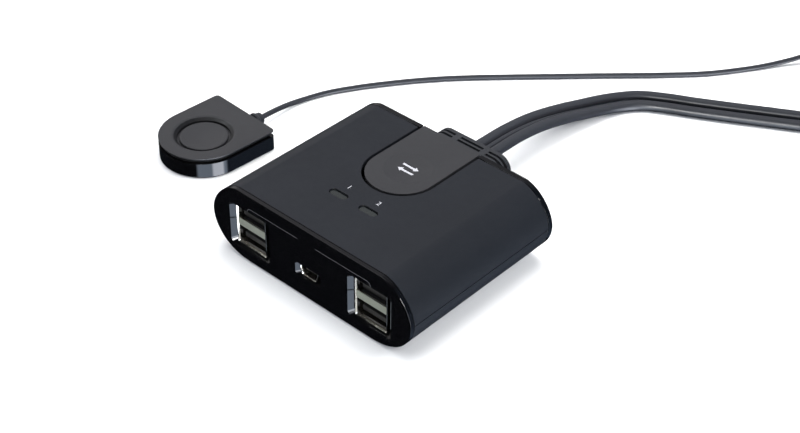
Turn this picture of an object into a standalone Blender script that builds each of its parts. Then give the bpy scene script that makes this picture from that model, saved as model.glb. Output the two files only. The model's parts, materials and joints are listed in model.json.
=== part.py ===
"""A USB sharing switch: two computers share four USB ports, with a wired remote button.

The housing is a squashed tube that runs front to back: a matt top cover and bottom cover,
held between a glossy front bezel with the ports and a glossy rear bezel with the cable gland.
A D-shaped select button is let into the top cover and tilts about pins near its rear edge.
The frame's origin is on the surface the switch stands on, in the middle of the footprint of
the housing, gland and remote. +X runs along the port face, +Y from the ports to the cables.
"""
import math

import bmesh
import bpy
from mathutils import Matrix, Vector

MM = 0.001
GAP = 0.3 * MM              # left between pieces that touch on the real object
SEAM = 0.3 * MM             # the visible joint lines of the housing

# Where the cables leave the gland: everything is placed from this point.
EXIT_X = 28.9 * MM
EXIT_Y = 40.7 * MM
FOOT_STANDS = 0.6 * MM      # how far the feet lift the housing

# Housing
WIDTH = 87.7 * MM
DEPTH = 68.5 * MM
HEIGHT = 27.1 * MM
SEAM_HEIGHT = 13.7 * MM     # widest line of the section, where the two covers meet
TOP_FLAT = 31.6 * MM        # half the width of the flat part of the top
BOTTOM_FLAT = 27.5 * MM
TOP_ROUNDNESS = 1.7         # superellipse powers of the rounded flanks
BOTTOM_ROUNDNESS = 2.12
WALL = 2.0 * MM
FRONT_FLANGE = 1.4 * MM
REAR_FLANGE = 1.85 * MM
SPIGOT_DEPTH = 2.4 * MM
BEZEL_CHAMFER = 0.45 * MM

# Select button
BUTTON_RADIUS = 12.3 * MM
BUTTON_FROM_REAR = 24.75 * MM    # centre of its round front, from the rear face
BUTTON_THICK = 2.0 * MM
BUTTON_GROOVE = 0.6 * MM
BUTTON_AXIS_FROM_REAR = 5.25 * MM
BUTTON_AXIS_UNDER = 1.7 * MM  # hinge axis below the underside of the cover
BUTTON_PIN_RADIUS = 1.0 * MM
DISH_RADIUS = 8.6 * MM
DISH_DEPTH = 0.55 * MM
DISH_AHEAD = 2.9 * MM       # dish centre behind the centre of the round front
POST_RADIUS = 2.0 * MM

# Circuit board and what stands on it
BOARD_TOP = 7.8 * MM
BOARD_THICK = 1.2 * MM
BOARD_HALF_WIDTH = 35.0 * MM
BOARD_FRONT_INSET = 4.2 * MM
BOARD_REAR_INSET = 8.0 * MM
SWITCH_SIDE = 6.0 * MM
SWITCH_BODY = 3.5 * MM
SWITCH_STEM_TOP = 9.4 * MM
SWITCH_STEM_RADIUS = 1.7 * MM
SCREW_REAR = (30.0 * MM, 14.5 * MM)      # half spacing, and distance from the rear face
SCREW_FRONT = (12.5 * MM, 10.2 * MM)     # half spacing, and distance from the front face
SCREW_RADIUS = 1.15 * MM
SCREW_HEAD_RADIUS = 2.3 * MM
SCREW_HEAD = 1.5 * MM
SCREW_LENGTH = 14.0 * MM
BOSS_RADIUS = 3.2 * MM

# Ports
PORT_SPACING = 26.6 * MM    # centre of each stack from the middle
STACK_WIDTH = 13.15 * MM
STACK_HEIGHT = 15.3 * MM
STACK_LENGTH = 17.5 * MM
STACK_BASE = 5.0 * MM
STACK_SHEET = 0.35 * MM
STACK_RECESS = 1.1 * MM
PORT_HEIGHT = 5.12 * MM
PORT_RISE = 0.95 * MM       # lower edge of the lower port above the stack's base
PORT_PITCH = 8.85 * MM
TONGUE_WIDTH = 11.1 * MM
TONGUE_THICK = 1.84 * MM
TONGUE_RISE = 0.43 * MM
TONGUE_SETBACK = 2.0 * MM
CONTACT_THICK = 0.2 * MM
PORT_SILL_DROP = 0.9 * MM   # how the opening widens to the front: below, and on each side
PORT_SIDE_FLARE = 2.3 * MM
FLARE_DEPTH = 1.0 * MM
MINI_WIDTH = 7.7 * MM
MINI_WAIST = 6.5 * MM
MINI_HEIGHT = 4.0 * MM
MINI_BASE = 8.1 * MM
MINI_LENGTH = 9.2 * MM
MINI_RECESS = 0.6 * MM
MINI_SHEET = 0.4 * MM
MINI_SILL_DROP = 0.5 * MM
MINI_SIDE_FLARE = 1.85 * MM

# Status lights
LIGHT_SPACING = 6.45 * MM
LIGHT_OFF_MIDDLE = 0.225 * MM  # windows behind the middle between the small port and the button
LIGHT_LENGTH = 6.8 * MM
LIGHT_WIDTH = 2.3 * MM
LIGHT_SUNK = 0.5 * MM

# Feet
FOOT_RADIUS = 4.0 * MM
FOOT_X = 21.5 * MM
FOOT_INSET = 8.0 * MM
FOOT_SOCKET = 0.9 * MM

# Cable gland
GLAND_WIDTH = 31.6 * MM
GLAND_HEIGHT = 13.0 * MM
GLAND_DEPTH = 12.9 * MM
GLAND_RISE = 13.8 * MM
GLAND_CORNER = 5.2 * MM
GLAND_NECK = 3.2 * MM       # how much slimmer the neck is than the gland, all round
GLAND_INNER = 3.0 * MM
GLAND_SLOT = 1.0 * MM
GLAND_SLOT_PITCH = 1.9 * MM
GLAND_SLOT_DEPTH = 1.2 * MM
GLAND_SLOT_ROWS = 4
GLAND_MIDDLE_SLOT = 10.0 * MM
GLAND_RIB = 2.4 * MM

# Remote button
REMOTE_FROM_EXIT = (-85.4 * MM, -49.4 * MM)
REMOTE_TURN = -3.0
REMOTE_RADIUS = 16.3 * MM
REMOTE_BACK = 19.7 * MM     # from the centre of the round front to the square back
REMOTE_CORNER = 1.5 * MM
REMOTE_HEIGHT = 8.3 * MM
REMOTE_PLATE = 1.5 * MM
REMOTE_WAIST = 0.8 * MM     # shadow gap between the plate and the base
REMOTE_WAIST_INSET = 0.8 * MM
REMOTE_WALL = 1.6 * MM
REMOTE_FLOOR = 1.0 * MM
REMOTE_PAD = 0.5 * MM
REMOTE_BUTTON_RADIUS = 9.1 * MM
REMOTE_BUTTON_SUNK = 1.1 * MM
REMOTE_BUTTON_THICK = 2.0 * MM
REMOTE_FUNNEL_RADIUS = 12.0 * MM
REMOTE_SWITCH_BODY = 1.4 * MM
REMOTE_CORD_RISE = 3.7 * MM
REMOTE_CORD_ASIDE = 1.3 * MM
RELIEF_LENGTH = 5.8 * MM
RELIEF_RADIUS = 3.0 * MM
RELIEF_NECK = 1.7 * MM
RELIEF_FLANGE = 2.0 * MM

# Cords
HOST_CORD = 4.0 * MM
REMOTE_CORD = 2.0 * MM
CORD_SPREAD = 3.3 * MM      # each host cable from the middle of the bundle
PLUG_BODY = (15.6 * MM, 21.0 * MM, 7.8 * MM)
PLUG_SHELL = (12.0 * MM, 18.7 * MM, 4.5 * MM)
PLUG_RELIEF = 11.0 * MM

REAR = EXIT_Y - GLAND_DEPTH
FRONT = REAR - DEPTH
BASE = FOOT_STANDS
CORD_START = BASE + GLAND_RISE


def clear_scene():
    for thing in list(bpy.data.objects):
        bpy.data.objects.remove(thing, do_unlink=True)


def collection(name):
    made = bpy.data.collections.new(name)
    bpy.context.scene.collection.children.link(made)
    return made


def material(name, colour, roughness, metallic=0.0):
    made = bpy.data.materials.new(name)
    made.use_nodes = True
    shader = made.node_tree.nodes["Principled BSDF"]
    shader.inputs["Base Color"].default_value = (*colour, 1.0)
    shader.inputs["Roughness"].default_value = roughness
    shader.inputs["Metallic"].default_value = metallic
    return made


clear_scene()
PARTS = collection("usb_sharing_switch")
CUTTERS = collection("cutters")
MATT = material("matt_cover_plastic", (0.042, 0.044, 0.05), 0.5)
PANEL = material("satin_button_plastic", (0.085, 0.085, 0.09), 0.5)
GLOSS = material("gloss_bezel_plastic", (0.004, 0.004, 0.005), 0.08)
RUBBER = material("black_rubber", (0.02, 0.02, 0.022), 0.8)
LENS = material("light_pipe_acrylic", (0.2, 0.24, 0.23), 0.25)
STEEL = material("nickel_plated_steel", (0.75, 0.74, 0.7), 0.25, 1.0)
GOLD = material("gold_plating", (0.9, 0.6, 0.2), 0.3, 1.0)
BOARD = material("circuit_board", (0.02, 0.16, 0.06), 0.5)
BLACK = material("black_moulding", (0.012, 0.012, 0.013), 0.45)
CORD = material("cable_jacket", (0.02, 0.02, 0.024), 0.45)


def place(obj, finish, group=None):
    for old in list(obj.users_collection):
        old.objects.unlink(obj)
    (group or PARTS).objects.link(obj)
    if finish is not None:
        obj.data.materials.clear()
        obj.data.materials.append(finish)
    if group is CUTTERS:
        obj.hide_render = True
        obj.display_type = "WIRE"
    return obj


def as_mesh(curve_obj, finish, group=None):
    """The curve's evaluated surface as a welded mesh object in the same place."""
    bpy.context.view_layer.update()
    graph = bpy.context.evaluated_depsgraph_get()
    mesh = bpy.data.meshes.new_from_object(curve_obj.evaluated_get(graph))
    work = bmesh.new()
    work.from_mesh(mesh)
    bmesh.ops.remove_doubles(work, verts=work.verts, dist=0.00001)
    work.to_mesh(mesh)
    work.free()
    name = curve_obj.name
    matrix = curve_obj.matrix_world.copy()
    bpy.data.objects.remove(curve_obj, do_unlink=True)
    made = bpy.data.objects.new(name, mesh)
    bpy.context.scene.collection.objects.link(made)
    made.matrix_world = matrix
    return place(made, finish, group)


def slab(name, loops, low, high, finish, plane="XY", group=None):
    """A flat outline, with any holes, extruded from low to high across its plane."""
    data = bpy.data.curves.new(name, "CURVE")
    data.dimensions = "2D"
    data.fill_mode = "BOTH"
    data.extrude = (high - low) / 2
    for loop in loops:
        spline = data.splines.new("POLY")
        spline.points.add(len(loop) - 1)
        for point, (u, v) in zip(spline.points, loop, strict=True):
            point.co = (u, v, 0.0, 1.0)
        spline.use_cyclic_u = True
    made = bpy.data.objects.new(name, data)
    bpy.context.scene.collection.objects.link(made)
    middle = (low + high) / 2
    if plane == "XZ":
        made.rotation_euler = (math.radians(90), 0.0, 0.0)
        made.location = (0.0, middle, 0.0)
    elif plane == "YZ":
        made.rotation_euler = (math.radians(90), 0.0, math.radians(90))
        made.location = (middle, 0.0, 0.0)
    else:
        made.location = (0.0, 0.0, middle)
    return as_mesh(made, finish, group)


def block(name, low, high, finish, group=None):
    """A box from its lowest to its highest corner."""
    mesh = bpy.data.meshes.new(name)
    work = bmesh.new()
    size = [b - a for a, b in zip(low, high, strict=True)]
    bmesh.ops.create_cube(work, size=1.0, matrix=Matrix.Diagonal((*size, 1.0)))
    work.to_mesh(mesh)
    work.free()
    made = bpy.data.objects.new(name, mesh)
    made.location = [(a + b) / 2 for a, b in zip(low, high, strict=True)]
    bpy.context.scene.collection.objects.link(made)
    return place(made, finish, group)


def cylinder(name, radius, base, length, finish, segments=24, axis="Z", group=None):
    """A cylinder that starts at base and runs along axis."""
    mesh = bpy.data.meshes.new(name)
    work = bmesh.new()
    bmesh.ops.create_cone(
        work, cap_ends=True, segments=segments, radius1=radius, radius2=radius, depth=length
    )
    work.to_mesh(mesh)
    work.free()
    made = bpy.data.objects.new(name, mesh)
    bpy.context.scene.collection.objects.link(made)
    turns = {"Z": (0.0, 0.0, 0.0), "X": (0.0, math.radians(90), 0.0), "Y": (math.radians(-90), 0.0, 0.0)}
    along = {"Z": Vector((0, 0, 1)), "X": Vector((1, 0, 0)), "Y": Vector((0, 1, 0))}[axis]
    made.rotation_euler = turns[axis]
    made.location = Vector(base) + along * length / 2
    return place(made, finish, group)


def turned(name, profile, place_at, finish, steps=32, tilt=(0.0, 0.0, 0.0), group=None):
    """A profile of (radius, height) points, top to bottom, turned about the vertical."""
    mesh = bpy.data.meshes.new(name)
    points = [(radius, 0.0, height) for radius, height in profile]
    edges = [(i, i + 1) for i in range(len(points) - 1)]
    if profile[0][0] > 0 and profile[-1][0] > 0:
        edges.append((len(points) - 1, 0))
    mesh.from_pydata(points, edges, [])
    made = bpy.data.objects.new(name, mesh)
    bpy.context.scene.collection.objects.link(made)
    screw = made.modifiers.new("turn", "SCREW")
    screw.steps = steps
    screw.render_steps = steps
    screw.use_merge_vertices = True
    screw.merge_threshold = 0.00001
    made.location = place_at
    made.rotation_euler = tilt
    return place(made, finish, group)


def boolean(obj, other, operation):
    step = obj.modifiers.new(operation.lower(), "BOOLEAN")
    step.operation = operation
    step.solver = "EXACT"
    step.object = other


def cut(obj, *cutters):
    for cutter in cutters:
        boolean(obj, cutter, "DIFFERENCE")


def join(obj, *others):
    for other in others:
        boolean(obj, other, "UNION")


def bevel(obj, width, segments=2, angle=40.0):
    step = obj.modifiers.new("bevel", "BEVEL")
    step.width = width
    step.segments = segments
    step.limit_method = "ANGLE"
    step.angle_limit = math.radians(angle)
    step.use_clamp_overlap = True


def smooth(obj, angle=35.0):
    obj.data.shade_smooth()
    if obj.type == "MESH":
        obj.data.set_sharp_from_angle(angle=math.radians(angle))


def at_body(x, from_front, z):
    """A point of the housing, from its middle, its front face and its underside."""
    return EXIT_X + x, FRONT + from_front, BASE + z


# ---------------------------------------------------------------- outlines

def flank(inset, upper, count=9):
    """The rounded right flank of the section, from the widest line to the flat."""
    points = []
    for i in range(count):
        turn = math.radians(90) * i / (count - 1)
        if upper:
            flat, power, rise = TOP_FLAT, TOP_ROUNDNESS, HEIGHT - inset - SEAM_HEIGHT
        else:
            flat, power, rise = BOTTOM_FLAT, BOTTOM_ROUNDNESS, inset - SEAM_HEIGHT
        reach = WIDTH / 2 - inset - flat
        x = flat + reach * max(math.cos(turn), 0.0) ** (2 / power)
        z = SEAM_HEIGHT + rise * math.sin(turn) ** (2 / power)
        points.append((x, z))
    return points


def section(inset):
    """The closed outline of the housing, counter-clockwise from the widest point."""
    right_up = flank(inset, True)
    right_down = flank(inset, False)
    left_down = [(-x, z) for x, z in right_up[::-1]] + [(-x, z) for x, z in right_down[1:]]
    loop = right_up + left_down + right_down[::-1][:-1]
    return [(EXIT_X + x, BASE + z) for x, z in loop]


def cover_outline(upper):
    """One cover's cross-section: the outer flank and flat, then the inner one back."""
    offset = SEAM / 2 if upper else -SEAM / 2
    outer = flank(0.0, upper)
    inner = flank(WALL, upper)
    loop = outer + [(-x, z) for x, z in outer[::-1]]
    back = [(-x, z) for x, z in inner] + inner[::-1]
    edge = SEAM_HEIGHT + offset
    points = []
    for x, z in loop + back:
        trimmed = max(z, edge) if upper else min(z, edge)
        points.append((EXIT_X + x, BASE + trimmed))
    return points


def rounded_box(x_low, x_high, y_low, y_high, radius, steps=4):
    """A rectangle with round corners, counter-clockwise."""
    corners = [
        (x_high - radius, y_high - radius, 0),
        (x_low + radius, y_high - radius, 90),
        (x_low + radius, y_low + radius, 180),
        (x_high - radius, y_low + radius, 270),
    ]
    points = []
    for x, y, start in corners:
        for i in range(steps + 1):
            turn = math.radians(start + 90 * i / steps)
            points.append((x + radius * math.cos(turn), y + radius * math.sin(turn)))
    return points


def circle(x, y, radius, steps=20):
    return [
        (x + radius * math.cos(math.tau * i / steps), y + radius * math.sin(math.tau * i / steps))
        for i in range(steps)
    ]


def dee(x, y, radius, back, corner, steps=20):
    """A round front (towards -Y) and a square back with small round corners."""
    points = []
    for i in range(steps + 1):
        turn = math.radians(180 + 180 * i / steps)
        points.append((x + radius * math.cos(turn), y + radius * math.sin(turn)))
    if corner <= 0:
        return points + [(x + radius, y + back), (x - radius, y + back)]
    for side, start in ((1, 0), (-1, 90)):
        for i in range(4):
            turn = math.radians(start + 30 * i)
            middle_x = x + side * (radius - corner)
            points.append((middle_x + corner * math.cos(turn), y + back - corner + corner * math.sin(turn)))
    return points


def mini_outline(grow):
    """The mini port's mouth: wide above, narrower below a kink on each side."""
    half, waist = MINI_WIDTH / 2 + grow, MINI_WAIST / 2 + grow
    low, high = MINI_BASE - grow, MINI_BASE + MINI_HEIGHT + grow
    kink_high, kink_low = low + 0.6 * (high - low), low + 0.38 * (high - low)
    right = [(waist, low), (waist, kink_low), (half, kink_high), (half, high)]
    loop = right + [(-x, z) for x, z in right[::-1]]
    return [(EXIT_X + x, BASE + z) for x, z in loop]


# ---------------------------------------------------------------- housing

def flared_opening(name, x_low, x_high, z_low, z_high, side_flare, sill_drop):
    """A cutter for the mouth of an opening: it widens to the front on its sides and below."""
    near, far = FRONT - GAP, FRONT + FLARE_DEPTH
    share = (far - near) / FLARE_DEPTH
    made = block(name, (x_low, near, z_low), (x_high, far, z_high), None, CUTTERS)
    for vertex in made.data.vertices:
        if vertex.co.y < 0:
            vertex.co.x += math.copysign(side_flare * share, vertex.co.x)
            if vertex.co.z < 0:
                vertex.co.z -= sill_drop * share
    return made


def screw_places():
    """(x, y) of the four housing screws."""
    rear_x, rear_in = SCREW_REAR
    front_x, front_in = SCREW_FRONT
    return [
        (EXIT_X - rear_x, REAR - rear_in),
        (EXIT_X + rear_x, REAR - rear_in),
        (EXIT_X - front_x, FRONT + front_in),
        (EXIT_X + front_x, FRONT + front_in),
    ]


def foot_places():
    return [
        (EXIT_X + side * FOOT_X, y)
        for y in (FRONT + FOOT_INSET, REAR - FOOT_INSET)
        for side in (-1, 1)
    ]


BUTTON_Y = REAR - BUTTON_FROM_REAR
AXIS_Y = REAR - BUTTON_AXIS_FROM_REAR
AXIS_Z = BASE + HEIGHT - WALL - BUTTON_AXIS_UNDER
COVER_FRONT = FRONT + FRONT_FLANGE + SEAM
COVER_REAR = REAR - REAR_FLANGE - SEAM
TOP = BASE + HEIGHT
BOARD_UNDER = BASE + BOARD_TOP - BOARD_THICK
STEM_TOP = BASE + BOARD_TOP + SWITCH_STEM_TOP
MINI_FRONT = FRONT + MINI_RECESS
MINI_REAR = MINI_FRONT + MINI_LENGTH
LIGHT_Y = (MINI_REAR + BUTTON_Y - BUTTON_RADIUS) / 2 + LIGHT_OFF_MIDDLE
LUG_X = BUTTON_RADIUS + BUTTON_GROOVE + 0.5 * MM
LUG_THICK = 2.0 * MM


def make_top_cover():
    cover = slab("top_cover", [cover_outline(True)], COVER_FRONT, COVER_REAR, MATT, "XZ")
    under = TOP - WALL
    for i, (x, y) in enumerate(screw_places()):
        low = BASE + BOARD_TOP + GAP
        boss = cylinder(f"boss_{i}", BOSS_RADIUS, (x, y, low), TOP - 0.4 * WALL - low, None, 20, group=CUTTERS)
        join(cover, boss)
        bore = cylinder(
            f"boss_bore_{i}", SCREW_RADIUS + GAP, (x, y, low - GAP),
            SCREW_LENGTH - BOARD_TOP + 2 * MM, None, 16, group=CUTTERS,
        )
        cut(cover, bore)
    for side in (-1, 1):
        near = EXIT_X + side * LUG_X
        far = near + side * LUG_THICK
        low_x, high_x = sorted((near, far))
        lug = block(
            f"lug_{side}", (low_x, AXIS_Y - 2.4 * MM, AXIS_Z - 2.3 * MM),
            (high_x, COVER_REAR - 0.4 * MM, under + 0.5 * WALL), None, CUTTERS,
        )
        join(cover, lug)
        hole = cylinder(
            f"lug_hole_{side}", BUTTON_PIN_RADIUS + GAP, (low_x - 1 * MM, AXIS_Y, AXIS_Z),
            LUG_THICK + 2 * MM, None, 20, "X", CUTTERS,
        )
        cut(cover, hole)
    opening = slab(
        "button_opening",
        [dee(EXIT_X, BUTTON_Y, BUTTON_RADIUS + BUTTON_GROOVE, BUTTON_FROM_REAR + 2 * MM, 0.0)],
        under - 0.5 * MM, TOP + MM, None, group=CUTTERS,
    )
    cut(cover, opening)
    for i, side in enumerate((-1, 1), 1):
        half_long, half_wide = LIGHT_LENGTH / 2 + GAP, LIGHT_WIDTH / 2 + GAP
        x = EXIT_X + side * LIGHT_SPACING
        outline = rounded_box(
            x - half_long, x + half_long, LIGHT_Y - half_wide, LIGHT_Y + half_wide, half_wide * 0.98
        )
        cut(cover, slab(f"light_slot_{i}", [outline], under - MM, TOP + MM, None, group=CUTTERS))
    smooth(cover)
    return cover


def make_bottom_cover():
    cover = slab("bottom_cover", [cover_outline(False)], COVER_FRONT, COVER_REAR, MATT, "XZ")
    for i, (x, y) in enumerate(screw_places()):
        post = cylinder(
            f"post_{i}", BOSS_RADIUS + 0.6 * MM, (x, y, BASE + 0.4 * WALL),
            BOARD_UNDER - GAP - BASE - 0.4 * WALL, None, 20, group=CUTTERS,
        )
        join(cover, post)
        bore = cylinder(f"post_bore_{i}", SCREW_RADIUS + GAP, (x, y, BASE - MM), 9 * MM, None, 16, group=CUTTERS)
        sink = cylinder(
            f"counterbore_{i}", SCREW_HEAD_RADIUS + GAP, (x, y, BASE - MM),
            SCREW_HEAD + GAP + 1.3 * MM, None, 20, group=CUTTERS,
        )
        cut(cover, bore, sink)
    for i, (x, y) in enumerate(foot_places()):
        socket = cylinder(
            f"foot_socket_{i}", FOOT_RADIUS + GAP, (x, y, BASE - MM), FOOT_SOCKET + MM, None, 28, group=CUTTERS
        )
        cut(cover, socket)
    smooth(cover)
    return cover


def make_bezel(name, face, inward, flange):
    """A flange with the housing's outline and a spigot that plugs into the covers."""
    inner = face + inward * flange
    low, high = sorted((face, inner))
    bezel = slab(name, [section(0.0)], low, high, GLOSS, "XZ")
    bevel(bezel, BEZEL_CHAMFER, 1)
    end = inner + inward * SPIGOT_DEPTH
    low, high = sorted((inner - inward * 0.3 * MM, end))
    join(bezel, slab(f"{name}_spigot", [section(WALL + GAP)], low, high, None, "XZ", CUTTERS))
    return bezel


def stack_box(side, grow):
    """Lowest and highest (x, z) of one stack of two ports."""
    x = EXIT_X + side * PORT_SPACING
    z = BASE + STACK_BASE
    return x - STACK_WIDTH / 2 - grow, x + STACK_WIDTH / 2 + grow, z - grow, z + STACK_HEIGHT + grow


def make_front_bezel():
    bezel = make_bezel("front_bezel", FRONT, 1, FRONT_FLANGE)
    deep = FRONT + FRONT_FLANGE + SPIGOT_DEPTH + MM
    for side, word in ((-1, "left"), (1, "right")):
        x0, x1, z0, z1 = stack_box(side, GAP)
        cut(bezel, block(f"port_opening_{word}", (x0, FRONT - MM, z0), (x1, deep, z1), None, CUTTERS))
        cut(bezel, flared_opening(f"port_flare_{word}", x0, x1, z0, z1, PORT_SIDE_FLARE, PORT_SILL_DROP))
    x_half = MINI_WIDTH / 2 + GAP
    z0, z1 = BASE + MINI_BASE - GAP, BASE + MINI_BASE + MINI_HEIGHT + GAP
    cut(bezel, slab("mini_opening", [mini_outline(GAP)], FRONT - MM, deep, None, "XZ", CUTTERS))
    left, right = EXIT_X - x_half, EXIT_X + x_half
    cut(bezel, flared_opening("mini_flare", left, right, z0, z1, MINI_SIDE_FLARE, MINI_SILL_DROP))
    return bezel


def make_rear_bezel():
    bezel = make_bezel("rear_bezel", REAR, -1, REAR_FLANGE)
    half_wide = GLAND_WIDTH / 2 - GLAND_NECK + GAP
    half_tall = GLAND_HEIGHT / 2 - GLAND_NECK + GAP
    z = BASE + GLAND_RISE
    outline = rounded_box(EXIT_X - half_wide, EXIT_X + half_wide, z - half_tall, z + half_tall, 2 * MM)
    deep = REAR - REAR_FLANGE - SPIGOT_DEPTH - MM
    cut(bezel, slab("gland_opening", [outline], deep, REAR + MM, None, "XZ", CUTTERS))
    half = BUTTON_RADIUS + BUTTON_GROOVE
    notch = block(
        "button_notch", (EXIT_X - half, deep, TOP - BUTTON_THICK - 2 * GAP),
        (EXIT_X + half, REAR + MM, TOP + MM), None, CUTTERS,
    )
    cut(bezel, notch)
    ears = BUTTON_RADIUS + BUTTON_GROOVE + LUG_THICK + 1.2 * MM
    relief = block(
        "hinge_relief", (EXIT_X - ears, deep, AXIS_Z - 2.3 * MM - GAP),
        (EXIT_X + ears, REAR - REAR_FLANGE + 0.1 * MM, TOP + MM), None, CUTTERS,
    )
    cut(bezel, relief)
    return bezel


def make_select_button():
    low = TOP - BUTTON_THICK
    outline = dee(EXIT_X, BUTTON_Y, BUTTON_RADIUS, BUTTON_FROM_REAR, 0.4 * MM, 24)
    button = slab("select_button", [outline], low, TOP, PANEL)
    bulge = (DISH_RADIUS ** 2 + DISH_DEPTH ** 2) / (2 * DISH_DEPTH)
    profile = [(0.0, 2 * MM), (DISH_RADIUS, 2 * MM)]
    for i in range(7):
        reach = DISH_RADIUS * (1 - i / 6)
        profile.append((reach, bulge - DISH_DEPTH - math.sqrt(bulge ** 2 - reach ** 2)))
    cut(button, turned("dish_cutter", profile, (EXIT_X, BUTTON_Y + DISH_AHEAD, TOP), None, 32, group=CUTTERS))
    post = cylinder(
        "button_post", POST_RADIUS, (EXIT_X, BUTTON_Y, STEM_TOP + GAP),
        low + 0.5 * MM - STEM_TOP - GAP, None, 16, group=CUTTERS,
    )
    join(button, post)
    for side in (-1, 1):
        outer = EXIT_X + side * (BUTTON_RADIUS - 0.3 * MM)
        inner = outer - side * 2 * MM
        x0, x1 = sorted((outer, inner))
        ear = block(
            f"button_ear_{side}", (x0, AXIS_Y - 1.8 * MM, AXIS_Z - 1.6 * MM),
            (x1, AXIS_Y + 1.8 * MM, low + 0.5 * MM), None, CUTTERS,
        )
        join(button, ear)
        reach = LUG_X + LUG_THICK - BUTTON_RADIUS + 1.3 * MM
        start = outer - side * MM if side > 0 else outer + MM - reach
        pin = cylinder(
            f"button_pin_{side}", BUTTON_PIN_RADIUS, (start, AXIS_Y, AXIS_Z), reach, None, 16, "X", CUTTERS
        )
        join(button, pin)
    smooth(button)
    return button


def make_lights():
    for i, side in enumerate((-1, 1), 1):
        x = EXIT_X + side * LIGHT_SPACING
        half_long, half_wide = LIGHT_LENGTH / 2, LIGHT_WIDTH / 2
        outline = rounded_box(
            x - half_long, x + half_long, LIGHT_Y - half_wide, LIGHT_Y + half_wide, half_wide * 0.98
        )
        led_top = BASE + BOARD_TOP + GAP + 1.2 * MM
        slab(f"light_window_{i}", [outline], led_top + GAP, TOP - LIGHT_SUNK, LENS)
        block(
            f"status_led_{i}", (x - 1.6 * MM, LIGHT_Y - 0.8 * MM, BASE + BOARD_TOP + GAP),
            (x + 1.6 * MM, LIGHT_Y + 0.8 * MM, led_top), LENS,
        )


def make_feet_and_screws():
    words = ("front_left", "front_right", "rear_left", "rear_right")
    for word, (x, y) in zip(words, foot_places(), strict=True):
        foot = cylinder(
            f"foot_{word}", FOOT_RADIUS, (x, y, 0.0), FOOT_STANDS + FOOT_SOCKET - GAP, RUBBER, 28
        )
        bevel(foot, 0.2 * MM, 1)
    words = ("rear_left", "rear_right", "front_left", "front_right")
    for word, (x, y) in zip(words, screw_places(), strict=True):
        profile = [
            (0.0, SCREW_LENGTH), (SCREW_RADIUS, SCREW_LENGTH - 0.5 * MM),
            (SCREW_RADIUS, SCREW_HEAD), (SCREW_HEAD_RADIUS, SCREW_HEAD - 0.3 * MM),
            (SCREW_HEAD_RADIUS, 0.0), (0.0, 0.0),
        ]
        screw = turned(f"screw_{word}", profile, (x, y, BASE + 0.2 * MM), STEEL, 20)
        slot = block(
            f"screw_slot_{word}", (x - 0.35 * MM, y - 1.5 * MM, BASE - 0.5 * MM),
            (x + 0.35 * MM, y + 1.5 * MM, BASE + 0.9 * MM), None, CUTTERS,
        )
        cut(screw, slot)


# ---------------------------------------------------------------- electronics

def make_board():
    front, rear = FRONT + BOARD_FRONT_INSET, REAR - BOARD_REAR_INSET
    left, right = EXIT_X - BOARD_HALF_WIDTH, EXIT_X + BOARD_HALF_WIDTH
    notch_rear = FRONT + STACK_RECESS + STACK_LENGTH + 2 * GAP
    points = [(left, front)]
    for side in (-1, 1):
        x0, x1, _, _ = stack_box(side, 2 * GAP)
        points += [(x0, front), (x0, notch_rear), (x1, notch_rear), (x1, front)]
    points += [(right, front), (right, rear), (left, rear)]
    holes = [circle(x, y, SCREW_RADIUS + GAP, 16) for x, y in screw_places()]
    slab("main_board", [points, *holes], BOARD_UNDER, BASE + BOARD_TOP, BOARD)
    seat = BASE + BOARD_TOP + GAP
    block(
        "hub_chip", (EXIT_X - 22 * MM, BUTTON_Y - 9 * MM, seat),
        (EXIT_X - 12 * MM, BUTTON_Y + MM, seat + 1.4 * MM), BLACK,
    )
    crystal = slab(
        "crystal_can", [rounded_box(EXIT_X - 24 * MM, EXIT_X - 13 * MM, BUTTON_Y + 5 * MM, BUTTON_Y + 9.5 * MM,
                                    2.2 * MM)], seat, seat + 3.5 * MM, STEEL,
    )
    smooth(crystal)
    x, y = EXIT_X + 18 * MM, BUTTON_Y - 4 * MM
    capacitor = turned(
        "capacitor", [(0.0, 7 * MM), (2.9 * MM, 7 * MM), (3.15 * MM, 6.7 * MM), (3.15 * MM, 0.0), (0.0, 0.0)],
        (x, y, seat), STEEL, 24,
    )
    smooth(capacitor)
    half = SWITCH_SIDE / 2
    body = block(
        "select_switch", (EXIT_X - half, BUTTON_Y - half, seat),
        (EXIT_X + half, BUTTON_Y + half, seat + SWITCH_BODY), BLACK,
    )
    well = cylinder(
        "stem_well", SWITCH_STEM_RADIUS + GAP, (EXIT_X, BUTTON_Y, seat + MM), SWITCH_BODY, None, 20, group=CUTTERS
    )
    cut(body, well)
    low = seat + 2 * MM
    cylinder("select_switch_stem", SWITCH_STEM_RADIUS, (EXIT_X, BUTTON_Y, low), STEM_TOP - low, RUBBER, 20)


def port_floor(level):
    """Height of the lower edge of the lower (0) or upper (1) port."""
    return BASE + STACK_BASE + PORT_RISE + level * PORT_PITCH


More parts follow.
